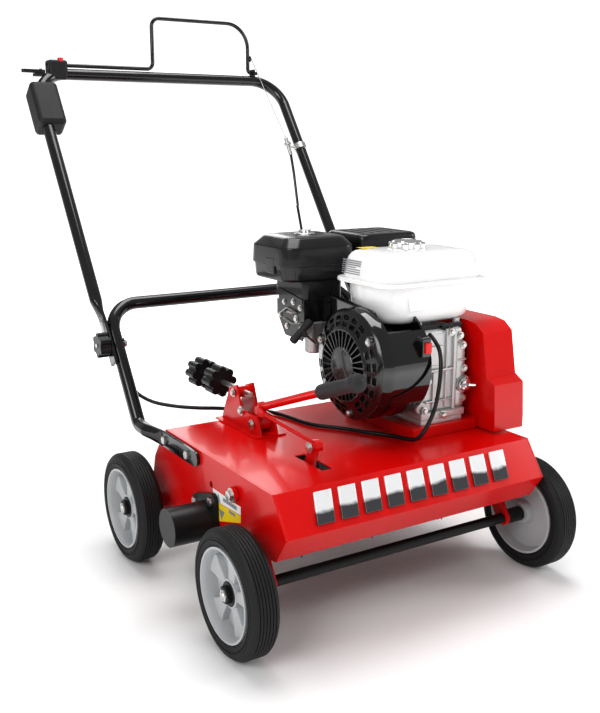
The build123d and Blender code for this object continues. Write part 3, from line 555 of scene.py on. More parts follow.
def addFloor():
    bpy.ops.object.select_all(action="DESELECT")
    bpy.ops.mesh.primitive_plane_add(size=30, location=(0, 0, groundZ))
    floor = bpy.context.active_object
    floor.name = "floor"
    applyPlace(floor)
    pale = surface("paleFloorPaintedGlow", {"color": (0.93, 0.93, 0.93), "rough": (0.6, 0.7), "tone": 0.003, "bump": 0.0})
    # painted glow: the floor's emission grows with distance from the object, so the floor glows bright further out
    # while its own shadow stays dark
    tree = pale.node_tree
    place = addNode(tree, "ShaderNodeTexCoord")
    distance = addNode(tree, "ShaderNodeVectorMath", operation="LENGTH")
    spread = addNode(tree, "ShaderNodeMapRange", interpolation_type="SMOOTHSTEP")
    spread.inputs["From Min"].default_value = 0.5
    spread.inputs["From Max"].default_value = 1.7
    spread.inputs["To Max"].default_value = 0.75
    tree.links.new(place.outputs["Object"], distance.inputs[0])
    tree.links.new(distance.outputs["Value"], spread.inputs["Value"])
    tree.links.new(spread.outputs["Result"], tree.nodes["Principled BSDF"].inputs["Emission Strength"])
    tree.nodes["Principled BSDF"].inputs["Emission Color"].default_value = (1, 1, 1, 1)
    floor.data.materials.append(pale)


addCamera()
addLights()
addFloor()

# wheels
wheelSizes = {"tread": 6, "groove": 0.0013, "grooveDepth": 0.0016, "spokes": 5}


def tyreProfile(half, outer, inner):
    profile = [(-half + 0.004, inner), (-half + 0.001, inner + 0.004), (-half, inner + 0.009),
               (-half, inner + 0.0098), (-half + 0.0016, inner + 0.0106), (-half + 0.0016, inner + 0.0118),
               (-half + 0.0002, inner + 0.0126), (-half + 0.0002, inner + 0.0142), (-half + 0.0016, inner + 0.015),
               (-half + 0.003, outer - 0.005), (-half + 0.0075, outer - 0.0012), (-half + 0.0095, outer - 0.0002)]
    pitch = 0.0052
    count = wheelSizes["tread"]
    sides = len(profile)
    for i in range(count):
        centre = (i - (count - 1) / 2) * pitch
        width = wheelSizes["groove"] / 2
        depth = wheelSizes["grooveDepth"]
        profile += [(centre - width, outer), (centre - width * 0.7, outer - depth),
                    (centre + width * 0.7, outer - depth),
                    (centre + width, outer)]
    mirrored = [(-along, radius) for along, radius in profile[:sides]][::-1]
    return profile + mirrored + [profile[0]]


def buildWheel(prefix, body):
    low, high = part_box(prefix + "_tyre")
    side = 1 if high.x > 0 else -1
    centre = (low + high) / 2
    outer = (high.z - low.z) / 2
    half = (high.x - low.x) / 2
    inner = (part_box(prefix + "_rim")[1].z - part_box(prefix + "_rim")[0].z) / 2
    axis = (side, 0, 0)
    tyre = lathe(prefix + "Tyre", tyreProfile(half, outer, inner), centre, axis, 96)
    settle(tyre, body, paints["tyreRubber"], [prefix + "_tyre"], angle=40)
    lip = half - 0.001
    barrel = lathe(prefix + "Barrel", [(-lip, inner), (-lip, inner - 0.004), (-half * 0.2, inner - 0.009),
                                       (lip * 0.72, inner - 0.0065), (lip - 0.003, inner - 0.0045),
                                       (lip, inner - 0.0035),
                                       (lip, inner), (-lip, inner)], centre, axis, 96)
    web = lathe(prefix + "Web", [(-0.007, 0.0092), (-0.003, 0.0092), (-0.003, inner - 0.006),
                                 (-0.007, inner - 0.006),
                                 (-0.007, 0.0092)], centre, axis, 64)
    face = 0.0105
    hub = lathe(prefix + "Hub", [(-0.02, 0.0092), (-0.02, 0.019), (0.002, 0.0235), (face, 0.0225),
                                 (face + 0.0004, 0.0195),
                                 (face + 0.0004, 0.0092), (-0.02, 0.0092)], centre, axis, 48)
    parts = [barrel, web, hub]
    reach = inner - 0.0062
    for i in range(wheelSizes["spokes"]):
        turn = aroundAxis(math.tau * (i + 0.12) / wheelSizes["spokes"], (1, 0, 0), centre)
        outline = []
        for across, height in ((-0.0085, 0.018), (-0.0098, 0.03), (-0.0135, 0.048), (-0.0205, reach - 0.003),
                               (-0.008, reach), (0.008, reach), (0.0205, reach - 0.003), (0.0135, 0.048),
                               (0.0098, 0.03), (0.0085, 0.018)):
            outline.append((centre.x - side * 0.006, centre.y + across, centre.z + height))
        spoke = plate("spoke", outline, (side * 0.0155, 0, 0), 0.0028, 3)
        spoke.data.transform(turn)
        parts.append(spoke)
    rim = joined(prefix + "Rim", parts)
    settle(rim, body, paints["greyPlastic"], [prefix + "_rim"])
    cap = lathe(prefix + "HubCap", [(face, 0.0098), (face, 0.0188), (face + 0.0012, 0.0192),
                                    (face + 0.0022, 0.0182),
                                    (face + 0.0026, 0.0125), (face + 0.0018, 0.0098), (face, 0.0098)], centre, axis,
                                    48)
    settle(cap, body, paints["smoothPlastic"])
    # bright nut on the axle's end, which stays with the axle
    holder = "front_axle" if prefix.startswith("front") else "chassis"
    outerFace = 0.325 - abs(centre.x)
    nut = lathe(prefix + "Nut", [(outerFace - 0.0042, 0.0001), (outerFace - 0.0042, 0.0104),
                                 (outerFace - 0.0026, 0.0104),
                                 (outerFace - 0.0018, 0.0092), (outerFace - 0.0018, 0.0001)], centre, axis, 6)
    tip = lathe(prefix + "AxleTip", [(outerFace - 0.0022, 0.0001), (outerFace - 0.0022, 0.0066),
                                     (outerFace - 0.0008, 0.0056),
                                     (outerFace - 0.0002, 0.003), (outerFace - 0.0001, 0.0001)], centre, axis, 32)
    settle(joined(prefix + "NutSet", [nut, tip]), holder, paints["zinc"])


for prefix in ("front_left", "front_right", "rear_left", "rear_right"):
    buildWheel(prefix, prefix + "_wheel")
print("wheels made")

# engine
def spot(x, y, z):
    return Vector((x / 1000, behind(y / 1000), z / 1000))


def roundedOutline(x, y, z, width, depth, corner):
    outline = []
    for cornerX, cornerY, start in ((1, 1, 0), (-1, 1, 90), (-1, -1, 180), (1, -1, 270)):
        for step in range(7):
            angle = math.radians(start + step * 15)
            outline.append(spot(x + cornerX * (width / 2 - corner) + corner * math.cos(angle),
                                y + cornerY * (depth / 2 - corner) + corner * math.sin(angle), z))
    return outline


def stack(name, x, y, width, depth, corner, levels):
    # one rounded outline drawn upwards through levels of (height, how far it draws in)
    height, inset = levels[0]
    grown = (width - 2 * inset, depth - 2 * inset)
    piece = drawLine(name, roundedOutline(x, y, height, grown[0], grown[1], corner))
    bpy.ops.mesh.select_all(action="SELECT")
    bpy.ops.mesh.edge_face_add()
    for height2, inset2 in levels[1:]:
        grown2 = (width - 2 * inset2, depth - 2 * inset2)
        bpy.ops.mesh.extrude_region_move(TRANSFORM_OT_translate={"value": (0, 0, (height2 - height) / 1000)})
        bpy.ops.transform.resize(value=(grown2[0] / grown[0], grown2[1] / grown[1], 1),
                                 center_override=spot(x, y, height2))
        height, grown = height2, grown2
    bpy.ops.object.mode_set(mode="OBJECT")
    tidyNormals(piece)
    return piece


def hexBolt(place, axis, size=5.0, head=4.0, washer=True):
    axis = Vector(axis)
    profile = [(0, 0.0001), (0, size * 0.00135), (0.0008, size * 0.0014), (0.001, size * 0.0009)]
    washerPiece = lathe("washer", [(0, 0.0001)] + profile[1:3] + [(0.001, 0.0001)], place, axis, 24)
    hexHead = lathe("head", [(0.001, 0.0001), (0.001, size / 1000), ((head - 0.6) / 1000, size / 1000),
                             (head / 1000, size * 0.00085), (head / 1000, 0.0001)], place, axis, 6)
    return [washerPiece, hexHead] if washer else [hexHead]


tank = {"x": 142, "y": 158, "width": 224, "depth": 156, "corner": 34}


def buildTank():
    upper = stack("tankUpper", tank["x"], tank["y"], tank["width"], tank["depth"], tank["corner"],
                  [(520, 3), (524, 2.5), (540, 4.2), (552, 6.5), (560, 9.5), (565.5, 13.5), (569, 19), (571, 26),
                   (572, 36), (572.5, 50)])
    lower = stack("tankLower", tank["x"], tank["y"], tank["width"], tank["depth"], tank["corner"],
                  [(448, 40), (448.4, 30), (450, 22), (453, 16), (458, 11.5), (466, 8.5), (480, 6.5), (500, 4),
                   (518, 2.5), (521, 2.5)])
    seam = stack("tankSeam", tank["x"], tank["y"], tank["width"], tank["depth"], tank["corner"],
                 [(516.7, 0), (516.7, -4.6), (517.4, -5.7), (519, -6), (521, -6), (522.6, -5.7), (523.3, -4.6),
                  (523.3, 0)])
    collar = lathe("tankCollar", [(-0.002, 0.0345), (0.0005, 0.034), (0.002, 0.031), (0.0026, 0.028),
                                  (0.0026, 0.0185),
                                  (-0.002, 0.0185), (-0.002, 0.0345)], spot(125, 150, 572.3), (0, 0, 1), 64)
    # pressed rib on the front of the lower half
    rib = plate("tankRib", [spot(78, 85.2, 497), spot(118, 85.2, 500), spot(112, 87, 474), spot(84, 87, 474)],
                (0, -0.0016, 0), 0.0014, 3)
    body = joined("fuelTank", [upper, lower, seam, collar, rib])
    settle(body, "chassis", paints["whitePaint"], ["fuel_tank"], angle=32)
    lines = []
    for row in range(7):
        long = 54 if row != 3 else 40
        z = 531 + row * 3.7
        face = tank["x"] - tank["width"] / 2 + 2.5 + max(0, (z - 524) * 0.115)
        lines.append(block("print", spot(face - 0.5, 216 - long, z), spot(face + 1.2, 216, z + 1.7), 0.0001, 1))
    settle(joined("tankPrint", lines), "chassis", paints["greyPrint"])
    yellow = plate("tankLabel", [spot(62, 190, 572.4), spot(96, 190, 572.4), spot(96, 214, 572.4),
                                 spot(62, 214, 572.4)],
                   (0, 0, 0.0004))
    settle(yellow, "chassis", paints["yellowLabel"])
    print("tank made")


def buildFuelCap():
    # silver cap: a plain turned middle with eight rounded lobes round it
    centre = spot(125, 150, 576)
    middle = lathe("capMiddle", [(-0.003, 0.0001), (-0.003, 0.026), (0.0095, 0.0265), (0.0118, 0.0245),
                                 (0.0122, 0.022),
                                 (0.0105, 0.019), (0.0105, 0.0001)], centre, (0, 0, 1), 64)
    lobe = lathe("capLobe", [(-0.002, 0.0001), (-0.002, 0.0068), (0.007, 0.0068), (0.0092, 0.0052), (0.0098, 0.003),
                             (0.0098, 0.0001)], centre + Vector((0.0258, 0, 0)), (0, 0, 1), 24)
    lobes = [copyTurned(lobe, aroundAxis(math.tau * i / 8, (0, 0, 1), centre)) for i in range(1, 8)]
    stem = lathe("capStem", [(-0.003, 0.0001), (-0.003, 0.005), (0.002, 0.005), (0.002, 0.0001)], centre, (0, 0, 1),
                 24)
    cap = joined("fuelCap", [middle, lobe, stem] + lobes)
    settle(cap, "fuel_cap", paints["chrome"], ["fuel_cap"])


def buildAirCleaner():
    cover = stack("cleanerCover", 20, 325, 154, 146, 20,
                  [(510, 22), (510.4, 12), (512, 7), (516, 4.5), (538, 3.2), (538.6, 1), (541, 0.2), (570, 1.5),
                   (573, 2.5),
                   (586, 15), (588, 18), (589.6, 24), (590, 40)])
    elbow = stack("cleanerElbow", 28, 317.5, 84, 105, 10,
                  [(436, 4), (437, 1), (440, 0), (468, 0), (469, 2.5), (474, 2.5), (475, 0), (505, 0), (512, 2)])
    latch = block("cleanerLatch", spot(-57, 300, 524), spot(-50, 330, 552), 0.002, 3)
    shell = joined("airCleaner", [cover, elbow, latch])
    settle(shell, "chassis", paints["blackCover"], ["air_cleaner"], angle=32)
    centre = spot(24, 325, 589.5)
    washer = lathe("cleanerWasher", [(0, 0.0001), (0, 0.0185), (0.0012, 0.0195), (0.0022, 0.0185), (0.0026, 0.011),
                                     (0.0026, 0.0001)], centre, (0, 0, 1), 48)
    nut = lathe("cleanerNut", [(0.002, 0.0001), (0.002, 0.0075), (0.007, 0.006), (0.008, 0.004), (0.008, 0.0001)],
                centre, (0, 0, 1), 24)
    wing = plate("cleanerWing", [centre + Vector((0.004, -0.001, 0.0028)),
                                 centre + Vector((0.0125, -0.001, 0.0045)),
                                 centre + Vector((0.0135, -0.001, 0.008)), centre + Vector((0.009, -0.001, 0.008)),
                                 centre + Vector((0.004, -0.001, 0.0062))], (0, 0.002, 0), 0.0006)
    other = copyTurned(wing, aroundAxis(math.pi, (0, 0, 1), centre))
    settle(joined("cleanerWingNut", [washer, nut, wing, other]), "chassis", paints["zinc"])
    print("air cleaner made")


shaftCentre = {"y": 140, "z": 383}


def buildBlower():
    centre = spot(0, shaftCentre["y"], shaftCentre["z"])
    drum = lathe("blowerDrum", [(0.099, 0.0945), (0.099, 0.098), (0.024, 0.098), (0.016, 0.0968), (0.009, 0.0938),
                                (0.0045, 0.0915), (0.0015, 0.0905), (0.0005, 0.0885), (0.0015, 0.0865),
                                (0.03, 0.088),
                                (0.092, 0.0935), (0.099, 0.0945)], centre, (1, 0, 0), 128)
    back = lathe("blowerBack", [(0.095, 0.0135), (0.099, 0.0135), (0.099, 0.097), (0.095, 0.097), (0.095, 0.0135)],
                 centre, (1, 0, 0), 96)
    duct = plate("blowerDuct", [spot(20, 92, 468), spot(20, 104, 479), spot(20, 236, 491), spot(20, 250, 488),
                                spot(20, 257, 474), spot(20, 262, 430), spot(20, 246, 372), spot(20, 228, 332),
                                spot(20, 205, 352), spot(20, 190, 400), spot(20, 150, 440), spot(20, 104, 452)],
                 (0.079, 0, 0), 0.005, 4)
    cut = block("tankRoom", spot(24, 30, 446.8), spot(130, 268, 520), 0)
    hole = lathe("drumHole", [(-0.02, 0.0001), (-0.02, 0.09), (0.092, 0.0925), (0.092, 0.0001)], centre, (1, 0, 0),
                 96)
    parts = []
    for piece, knives in ((drum, [cut]), (duct, [cut, hole])):
        for knife in knives:
            boolean = piece.modifiers.new("cut", "BOOLEAN")
            boolean.operation = "DIFFERENCE"
            boolean.solver = "EXACT"
            boolean.object = knife
        applyModifiers(piece)
        parts.append(piece)
    bpy.data.objects.remove(cut)
    bpy.data.objects.remove(hole)
    switchBox = block("switchBox", spot(76, 38, 404), spot(94, 58, 438), 0.0025, 3)
    housing = joined("blowerHousing", parts + [back, switchBox])
    settle(housing, "chassis", paints["glossCover"], ["blower_housing"], angle=32)
    print("blower made")


recoil = {"fins": 30, "slots": 22}


def buildRecoil():
    centre = spot(0, shaftCentre["y"], shaftCentre["z"])
    axis = (-1, 0, 0)
    disc = lathe("recoilDisc", [(0.012, 0.0001), (0.0188, 0.0001), (0.0186, 0.02), (0.0178, 0.028),
                                (0.0182, 0.0295),
                                (0.0182, 0.0318), (0.017, 0.0328), (0.0125, 0.0328), (0.012, 0.0001)], centre, axis,
                                80)
    ring = lathe("recoilRing", [(0.0145, 0.0605), (0.0162, 0.0605), (0.0165, 0.0625), (0.0155, 0.0645),
                                (0.0128, 0.068),
                                (0.0085, 0.083), (0.0062, 0.0895), (0.003, 0.0945), (0.0, 0.0968), (-0.0, 0.09),
                                (0.0035, 0.0885), (0.0068, 0.0795), (0.0115, 0.064), (0.0145, 0.0605)], centre,
                                axis, 128)
    knives = []
    for inside, outside in ((0.0675, 0.0755), (0.0785, 0.0865)):
        for i in range(recoil["slots"]):
            if i % 7 == 3:
                continue
            angle = math.tau * i / recoil["slots"]
            knife = block("slot", centre + Vector((-0.02, -0.0072, inside)),
                          centre + Vector((0.004, 0.0072, outside)), 0)
            knife.data.transform(aroundAxis(angle, (1, 0, 0), centre))
            knives.append(knife)
    knife = joined("slotKnife", knives)
    boolean = ring.modifiers.new("slots", "BOOLEAN")
    boolean.operation = "DIFFERENCE"
    boolean.solver = "EXACT"
    boolean.object = knife
    applyModifiers(ring)
    bpy.data.objects.remove(knife)
    fin = plate("recoilFin", [centre + Vector((-0.0178, -0.0011, 0.0315)),
                              centre + Vector((-0.0178, 0.0011, 0.0315)),
                              centre + Vector((-0.0162, 0.0018, 0.0615)),
                              centre + Vector((-0.0162, -0.0018, 0.0615))],
                (0.005, 0, 0), 0.0005, 2)
    fins = [copyTurned(fin, aroundAxis(math.tau * i / recoil["fins"], (1, 0, 0), centre))
            for i in range(1, recoil["fins"])]
    lugs = []
    for angle in (52, 172, 292):
        lug = lathe("recoilLug", [(-0.001, 0.0001), (-0.001, 0.0105), (0.0085, 0.0098), (0.0105, 0.0082),
                                  (0.0105, 0.0001)],
                    centre + Vector((0, 0, 0.0835)), axis, 32)
        lug.data.transform(aroundAxis(math.radians(angle), (1, 0, 0), centre))
        lugs.append(lug)
    cover = joined("recoilCover", [disc, ring, fin] + fins + lugs)
    settle(cover, "chassis", paints["finPlastic"], ["recoil_cover"], angle=30)
    screws = []
    for angle in (52, 172, 292):
        place = aroundAxis(math.radians(angle), (1, 0, 0), centre) @ (centre + Vector((-0.0105, 0, 0.0835)))
        screws += hexBolt(place, axis, 4.2, 3.6)
    settle(joined("recoilScrews", screws), "chassis", paints["zinc"])
    screen = lathe("recoilScreen", [(0.001, 0.014), (0.0025, 0.014), (0.0025, 0.0885), (0.001, 0.0885),
                                    (0.001, 0.014)],
                   centre, axis, 64)
    settle(screen, "chassis", paints["blackSteel"])
    print("recoil made")


def buildCrankcase():
    parts = [block("caseBase", spot(99, 66, 275), spot(191, 256, 284), 0.0015, 2),
             block("caseFoot", spot(101, 67, 282), spot(199, 215, 296), 0.003, 3),
             block("caseBody", spot(99.5, 76, 290), spot(198, 214, 440), 0.009, 4),
             block("caseSide", spot(178, 72, 292), spot(204.6, 213, 418), 0.011, 4),
             block("caseRim", spot(172, 70.6, 290), spot(180, 214, 436), 0.0022, 2)]
    # cylinder with cooling fins, leaning back
    tilt = aroundAxis(math.radians(20), (1, 0, 0), spot(150, shaftCentre["y"], shaftCentre["z"]))
    barrel = block("barrel", spot(112, 146, 355), spot(188, 318, 412), 0.006, 3)
    barrel.data.transform(tilt)
    parts.append(barrel)
    for i in range(7):
        fin = block("fin", spot(103, 252 + i * 9.5, 348), spot(197, 254.4 + i * 9.5, 418), 0.001, 2)
        fin.data.transform(tilt)
        parts.append(fin)
    # raised webs and pads on the front wall
    webs = [((112, 70.6, 366), (172, 78, 371)), ((112, 70.6, 312), (172, 78, 316)),
            ((128, 71.5, 296), (133, 78, 366)),
            ((156, 71.5, 300), (160, 78, 440)), ((184, 70.4, 380), (202, 76, 384)),
            ((184, 70.4, 330), (203, 76, 334)),
            ((118, 71.4, 378), (150, 78, 412))]
    for low, high in webs:
        parts.append(block("web", spot(*low), spot(*high), 0.0018, 3))
    for x, z, radius in ((110, 428, 6.5), (166, 434, 6.5), (193, 408, 7), (197, 366, 7), (196, 312, 7),
                         (110, 300, 6.5),
                         (150, 292, 5.5), (186, 426, 6), (120, 350, 5.5)):
        boss = lathe("boss", [(0, 0.0001), (0, radius / 1000), (0.009, radius / 1000 * 0.93),
                              (0.0098, radius / 1000 * 0.8),
                              (0.0098, 0.0001)], spot(x, 80, z), (0, -1, 0), 28)
        parts.append(boss)
    neck = lathe("fillerNeck", [(0, 0.0001), (0, 0.0175), (0.008, 0.0155), (0.0115, 0.0145), (0.0115, 0.0001)],
                 spot(196, 80, 338), (0, -1, 0), 40)
    parts.append(neck)
    body = joined("crankcaseCast", parts)
    settle(body, "chassis", paints["castAlloy"], ["crankcase"], angle=34)
    bolts = []
    for x, z in ((110, 428), (166, 434), (193, 408), (197, 366), (196, 312), (110, 300), (186, 426)):
        bolts += hexBolt(spot(x, 70.2, z), (0, -1, 0), 4.6, 4.0)
    for x, y in ((106, 70), (186, 74)):
        bolts += hexBolt(spot(x, y + 3, 284), (0, 0, 1), 5.5, 5.0)
    drain = lathe("drain", [(0, 0.0001), (0, 0.0085), (0.0015, 0.0085), (0.0018, 0.0062), (0.006, 0.006),
                            (0.0068, 0.0045),
                            (0.0068, 0.0001)], spot(148, 67, 289), (0, -1, 0), 6)
    settle(joined("crankcaseBolts", bolts + [drain]), "chassis", paints["zinc"])
    # posts under the tank, and the dark stay between them
    posts = []
    for x, y in ((108, 92), (196, 96), (190, 200)):
        posts.append(lathe("post", [(0, 0.0001), (0, 0.0085), (0.012, 0.0062), (0.0225, 0.0062), (0.0225, 0.0001)],
                           spot(x, y, 430), (0, 0, 1), 28))
    settle(joined("tankPosts", posts), "chassis", paints["castAlloy"])
    stay = [block("stay", spot(106, 84, 437.5), spot(200, 92, 446.5), 0.0015, 2),
            plate("gusset", [spot(150, 84, 446), spot(176, 84, 446), spot(168, 84, 420), spot(160, 84, 414)],
                  (0, -0.006, 0), 0.001)]
    settle(joined("tankStay", stay), "chassis", paints["blackSteel"])
    print("crankcase made")


def buildOilCap():
    centre = spot(196, 67.2, 338)
    body = lathe("oilCapBody", [(0, 0.0001), (0, 0.013), (0.0022, 0.013), (0.003, 0.0115), (0.0055, 0.0105),
                                (0.0065, 0.008),
                                (0.0065, 0.0001)], centre, (0, -1, 0), 48)
    wing = plate("oilCapWing", [centre + Vector((-0.014, -0.005, 0)), centre + Vector((-0.0145, -0.0115, 0)),
                                centre + Vector((-0.0115, -0.0175, 0)), centre + Vector((-0.006, -0.0158, 0)),
                                centre + Vector((0, -0.0108, 0)), centre + Vector((0.006, -0.0158, 0)),
                                centre + Vector((0.0115, -0.0175, 0)), centre + Vector((0.0145, -0.0115, 0)),
                                centre + Vector((0.014, -0.005, 0))], (0, 0, 0.0045), 0.0012, 3)
    wing.data.transform(Matrix.Translation((0, 0, -0.00225)))
    settle(joined("oilCap", [body, wing]), "oil_cap", paints["chrome"], ["oil_cap"])


def buildMuffler():
    box = stack("mufflerBox", 180, 331, 136, 126, 14,
                [(492, 12), (492.6, 8), (494, 4), (497, 1.5), (501, 0.3), (578, 0.3), (583, 1.5), (586, 4),
                 (587.6, 8),
                 (588, 14)])
    outlet = lathe("mufflerOutlet", [(-0.006, 0.011), (-0.006, 0.013), (0.002, 0.013), (0.002, 0.0105),
                                     (-0.006, 0.0105)],
                   spot(190, 400, 520), (0, 1, 0), 40)
    inlet = lathe("mufflerInlet", [(0, 0.0001), (0, 0.012), (0.026, 0.012), (0.026, 0.0001)], spot(180, 312, 470.2),
                  (0, 0, 1), 40)
    knives = []
    for row in range(4):
        for column in range(5):
            knives.append(block("knife", spot(126 + column * 22, 384, 512 + row * 18),
                                spot(140 + column * 22, 400, 518 + row * 18), 0))
    for row in range(4):
        for column in range(4):
            knives.append(block("knife", spot(240, 284 + column * 26, 512 + row * 18),
                                spot(252, 300 + column * 26, 518 + row * 18), 0))
    for column in range(5):
        knives.append(block("knife", spot(130 + column * 22, 290, 584), spot(137 + column * 22, 372, 592), 0))
    knife = joined("mufflerKnife", knives)
    pickOnly(box)
    boolean = box.modifiers.new("slots", "BOOLEAN")
    boolean.operation = "DIFFERENCE"
    boolean.solver = "EXACT"
    boolean.object = knife
    applyModifiers(box)
    bpy.data.objects.remove(knife)
    settle(joined("mufflerGuard", [box, outlet, inlet]), "chassis", paints["blackCover"], ["muffler"],
           angle=32)


def buildCarburettor():
    body = block("carbBody", spot(2, 264, 402), spot(44, 316, 435.6), 0.004, 3)
    throat = lathe("carbThroat", [(0, 0.0001), (0, 0.012), (0.058, 0.012), (0.058, 0.0001)], spot(44, 290, 422),
                   (1, 0, 0), 36)
    bowl = lathe("carbBowl", [(0, 0.0001), (0, 0.015), (0.003, 0.017), (0.024, 0.017), (0.026, 0.0185),
                              (0.028, 0.0185),
                              (0.028, 0.0001)], spot(22, 290, 374.5), (0, 0, 1), 44)
    drain = lathe("bowlBolt", [(-0.0002, 0.0001), (-0.0002, 0.005), (0.004, 0.0055), (0.004, 0.0001)],
                  spot(22, 290, 374.3),
                  (0, 0, 1), 6)
    flange = block("carbFlange", spot(0.5, 262, 400), spot(5, 318, 436), 0.0015, 2)
    settle(joined("carburettorCast", [body, throat, bowl, drain, flange]), "chassis", paints["castAlloy"],
           ["carburettor"])
    # dark control plate with studs, springs and a link rod beside it
    panel = plate("controlPanel", [spot(-16, 268, 402), spot(-16, 262, 446), spot(-16, 270, 478),
                                   spot(-16, 348, 490),
                                   spot(-16, 356, 440), spot(-16, 330, 404)], (0.0022, 0, 0), 0.0006)
    edge = plate("controlEdge", [spot(-16, 262, 446), spot(-16, 264, 478), spot(-4, 264, 478), spot(-4, 262, 446)],
                 (0, 0.002, 0), 0.0005)
    settle(joined("controlPlate", [panel, edge]), "chassis", paints["blackCover"])
    bright = []
    for y, z, size in ((276, 462, 4), (300, 470, 4.6), (332, 466, 4), (346, 440, 3.6), (290, 440, 5),
                       (322, 422, 4.2),
                       (274, 424, 3.4)):
        bright += hexBolt(spot(-16, y, z), (-1, 0, 0), size, 3.4)
    bright.append(bentWire("linkWire", [spot(-20, 282, 452), spot(-20, 309.3, 456.6), spot(-20, 318, 458),
                                        spot(-20, 325.5, 453.5), spot(-20, 338, 446)], 0.0011, 3))
    bright.append(bentWire("linkWireLow", [spot(-19, 270, 436), spot(-19, 288.2, 432.4), spot(-19, 300, 430),
                                           spot(-19, 311.8, 432.4), spot(-19, 330, 436)], 0.0009, 3))
    coils = [spot(-21 + 2.6 * math.cos(i * math.tau / 8), 292 + i * 0.32, 450 + 2.6 * math.sin(i * math.tau / 8))
             for i in range(64)]
    bright.append(bentWire("spring", coils, 0.0005, 2, 12))
    settle(joined("controlParts", bright), "chassis", paints["zinc"])
    print("carburettor made")


def buildGrips():
    # starter handle: a flared bar across the rope
    centre = spot(-26, 256, 424)
    turn = Matrix.Rotation(math.radians(48), 4, "Y")
    axis = (turn @ Vector((0, 0, 1, 0))).to_3d()
    bar = lathe("starterBar", [(-0.0268, 0.0001), (-0.0266, 0.0045), (-0.025, 0.0068), (-0.021, 0.0078),
                               (-0.012, 0.0068),
                               (0, 0.0066), (0.012, 0.0068), (0.021, 0.0078), (0.025, 0.0068), (0.0266, 0.0045),
                               (0.0268, 0.0001)], centre, axis, 40)
    toRope = (spot(-6, 238, 402) - centre).normalized()
    neck = lathe("starterNeck", [(0.002, 0.0001), (0.002, 0.0062), (0.0105, 0.005), (0.0135, 0.0036),
                                 (0.0135, 0.0001)],
                 centre, toRope, 32)
    settle(joined("starterHandle", [bar, neck]), "starter_grip", paints["gripRubber"], ["starter_grip"])
    # lever grip, slimmer at the back and round at the tip
    start, tip = spot(-120, 236, 302), spot(-120, -53, 409)
    along = (tip - start).normalized()
    grip = lathe("leverGripShape", [(-0.107, 0.0071), (-0.107, 0.0108), (-0.1045, 0.0124), (-0.1, 0.0128),
                                    (-0.04, 0.0118),
                                    (-0.022, 0.0116), (-0.015, 0.0128), (-0.009, 0.0146), (-0.0035, 0.0152),
                                    (0.0015, 0.0146), (0.0052, 0.0118), (0.0073, 0.007), (0.0079, 0.0022),
                                    (0.0074, 0.0018), (0.0074, 0.0001)], tip, along, 56)
    settle(grip, "lift_lever", paints["gripRubber"], ["lever_grip"])


def buildFrontTrim():
    # nine slanted bright bars on the sloped front
    low, high = Vector((0, behind(-0.0665), 0.2065)), Vector((0, behind(-0.0385), 0.247))
    outward = Vector((0, -0.823, 0.568)) * 0.0042
    bars = []
    for i in range(9):
        x = -0.2 + i * 0.0435
        outline = [low + Vector((x, 0, 0)), low + Vector((x + 0.031, 0, 0)), high + Vector((x + 0.041, 0, 0)),
                   high + Vector((x + 0.01, 0, 0))]
        bars.append(plate("bar", [point + outward * 0.1 for point in outline], outward, 0.0011, 3))
    settle(joined("frontTrim", bars), "chassis", paints["trimChrome"])


def buildSideLabel():
    x = -0.2563
    face = plate("labelTop", [(x, behind(0.159), 0.204), (x, behind(0.063), 0.204), (x, behind(0.0632), 0.190),
                              (x, behind(0.1545), 0.185)], (-0.0004, 0, 0))
    settle(face, "chassis", paints["whiteLabel"])
    lower = plate("labelLow", [(x, behind(0.154), 0.184), (x, behind(0.0633), 0.189), (x, behind(0.064), 0.177),
                               (x, behind(0.147), 0.151)], (-0.0004, 0, 0))
    settle(lower, "chassis", paints["yellowLabel"])
    marks = [plate("mark", [(x - 0.0003, behind(0.146), 0.187), (x - 0.0003, behind(0.132), 0.188),
                            (x - 0.0003, behind(0.139), 0.201)],
                   (-0.0004, 0, 0)),
             block("mark", (x - 0.0008, behind(0.076), 0.194), (x - 0.0004, behind(0.122), 0.2), 0),
             block("mark", (x - 0.0008, behind(0.082), 0.181), (x - 0.0004, behind(0.102), 0.1855), 0),
             plate("mark", [(x - 0.0003, behind(0.138), 0.176), (x - 0.0003, behind(0.118), 0.176),
                            (x - 0.0003, behind(0.128), 0.16)],
                   (-0.0004, 0, 0))]
    settle(joined("labelMarks", marks), "chassis", paints["greyPrint"])


def buildShadeSheet():
    # painted shade: a dark rubber sheet hung inside the rear of the deck, darkening the view under the deck where
    # there is only shade
    shadeSheet = block("rearShadeSheet", (-0.2505, behind(0.345), 0.116), (0.2505, behind(0.3485), 0.2505), 0.0008, 2)
    settle(shadeSheet, "chassis", paints["gripRubber"])


def buildBrightNuts():
    # turned washers and nuts over the lift pivots, each with its own body
    sets = {"chassis": [], "front_axle": []}
    for y, z, size in ((238, 273, 6.6), (305, 315, 5.6), (277, 288, 6.2)):
        sets["chassis"] += hexBolt(spot(-139.4, y, z), (-1, 0, 0), size, 4.6)
        sets["chassis"] += hexBolt(spot(-100.6, y, z), (1, 0, 0), size, 4.6)
    sets["front_axle"] += hexBolt(spot(-264.6, 79, 220), (-1, 0, 0), 8.4, 7.0)
    sets["front_axle"] += hexBolt(spot(-136.4, 55, 282), (-1, 0, 0), 6.6, 4.6)
    for body, bolts in sets.items():
        if bolts:
            settle(joined(body + "Nuts", bolts), body, paints["zinc"])


buildFrontTrim()
buildSideLabel()
# dark sheet under the deck, standing in for shade
buildShadeSheet()
buildBrightNuts()
buildTank()
buildFuelCap()
buildAirCleaner()
buildBlower()
buildRecoil()
buildCrankcase()
buildOilCap()
buildMuffler()
buildCarburettor()
buildGrips()

# smooth cables
foldPivot = {"y": 518, "z": 382, "slope": math.radians(54.4)}


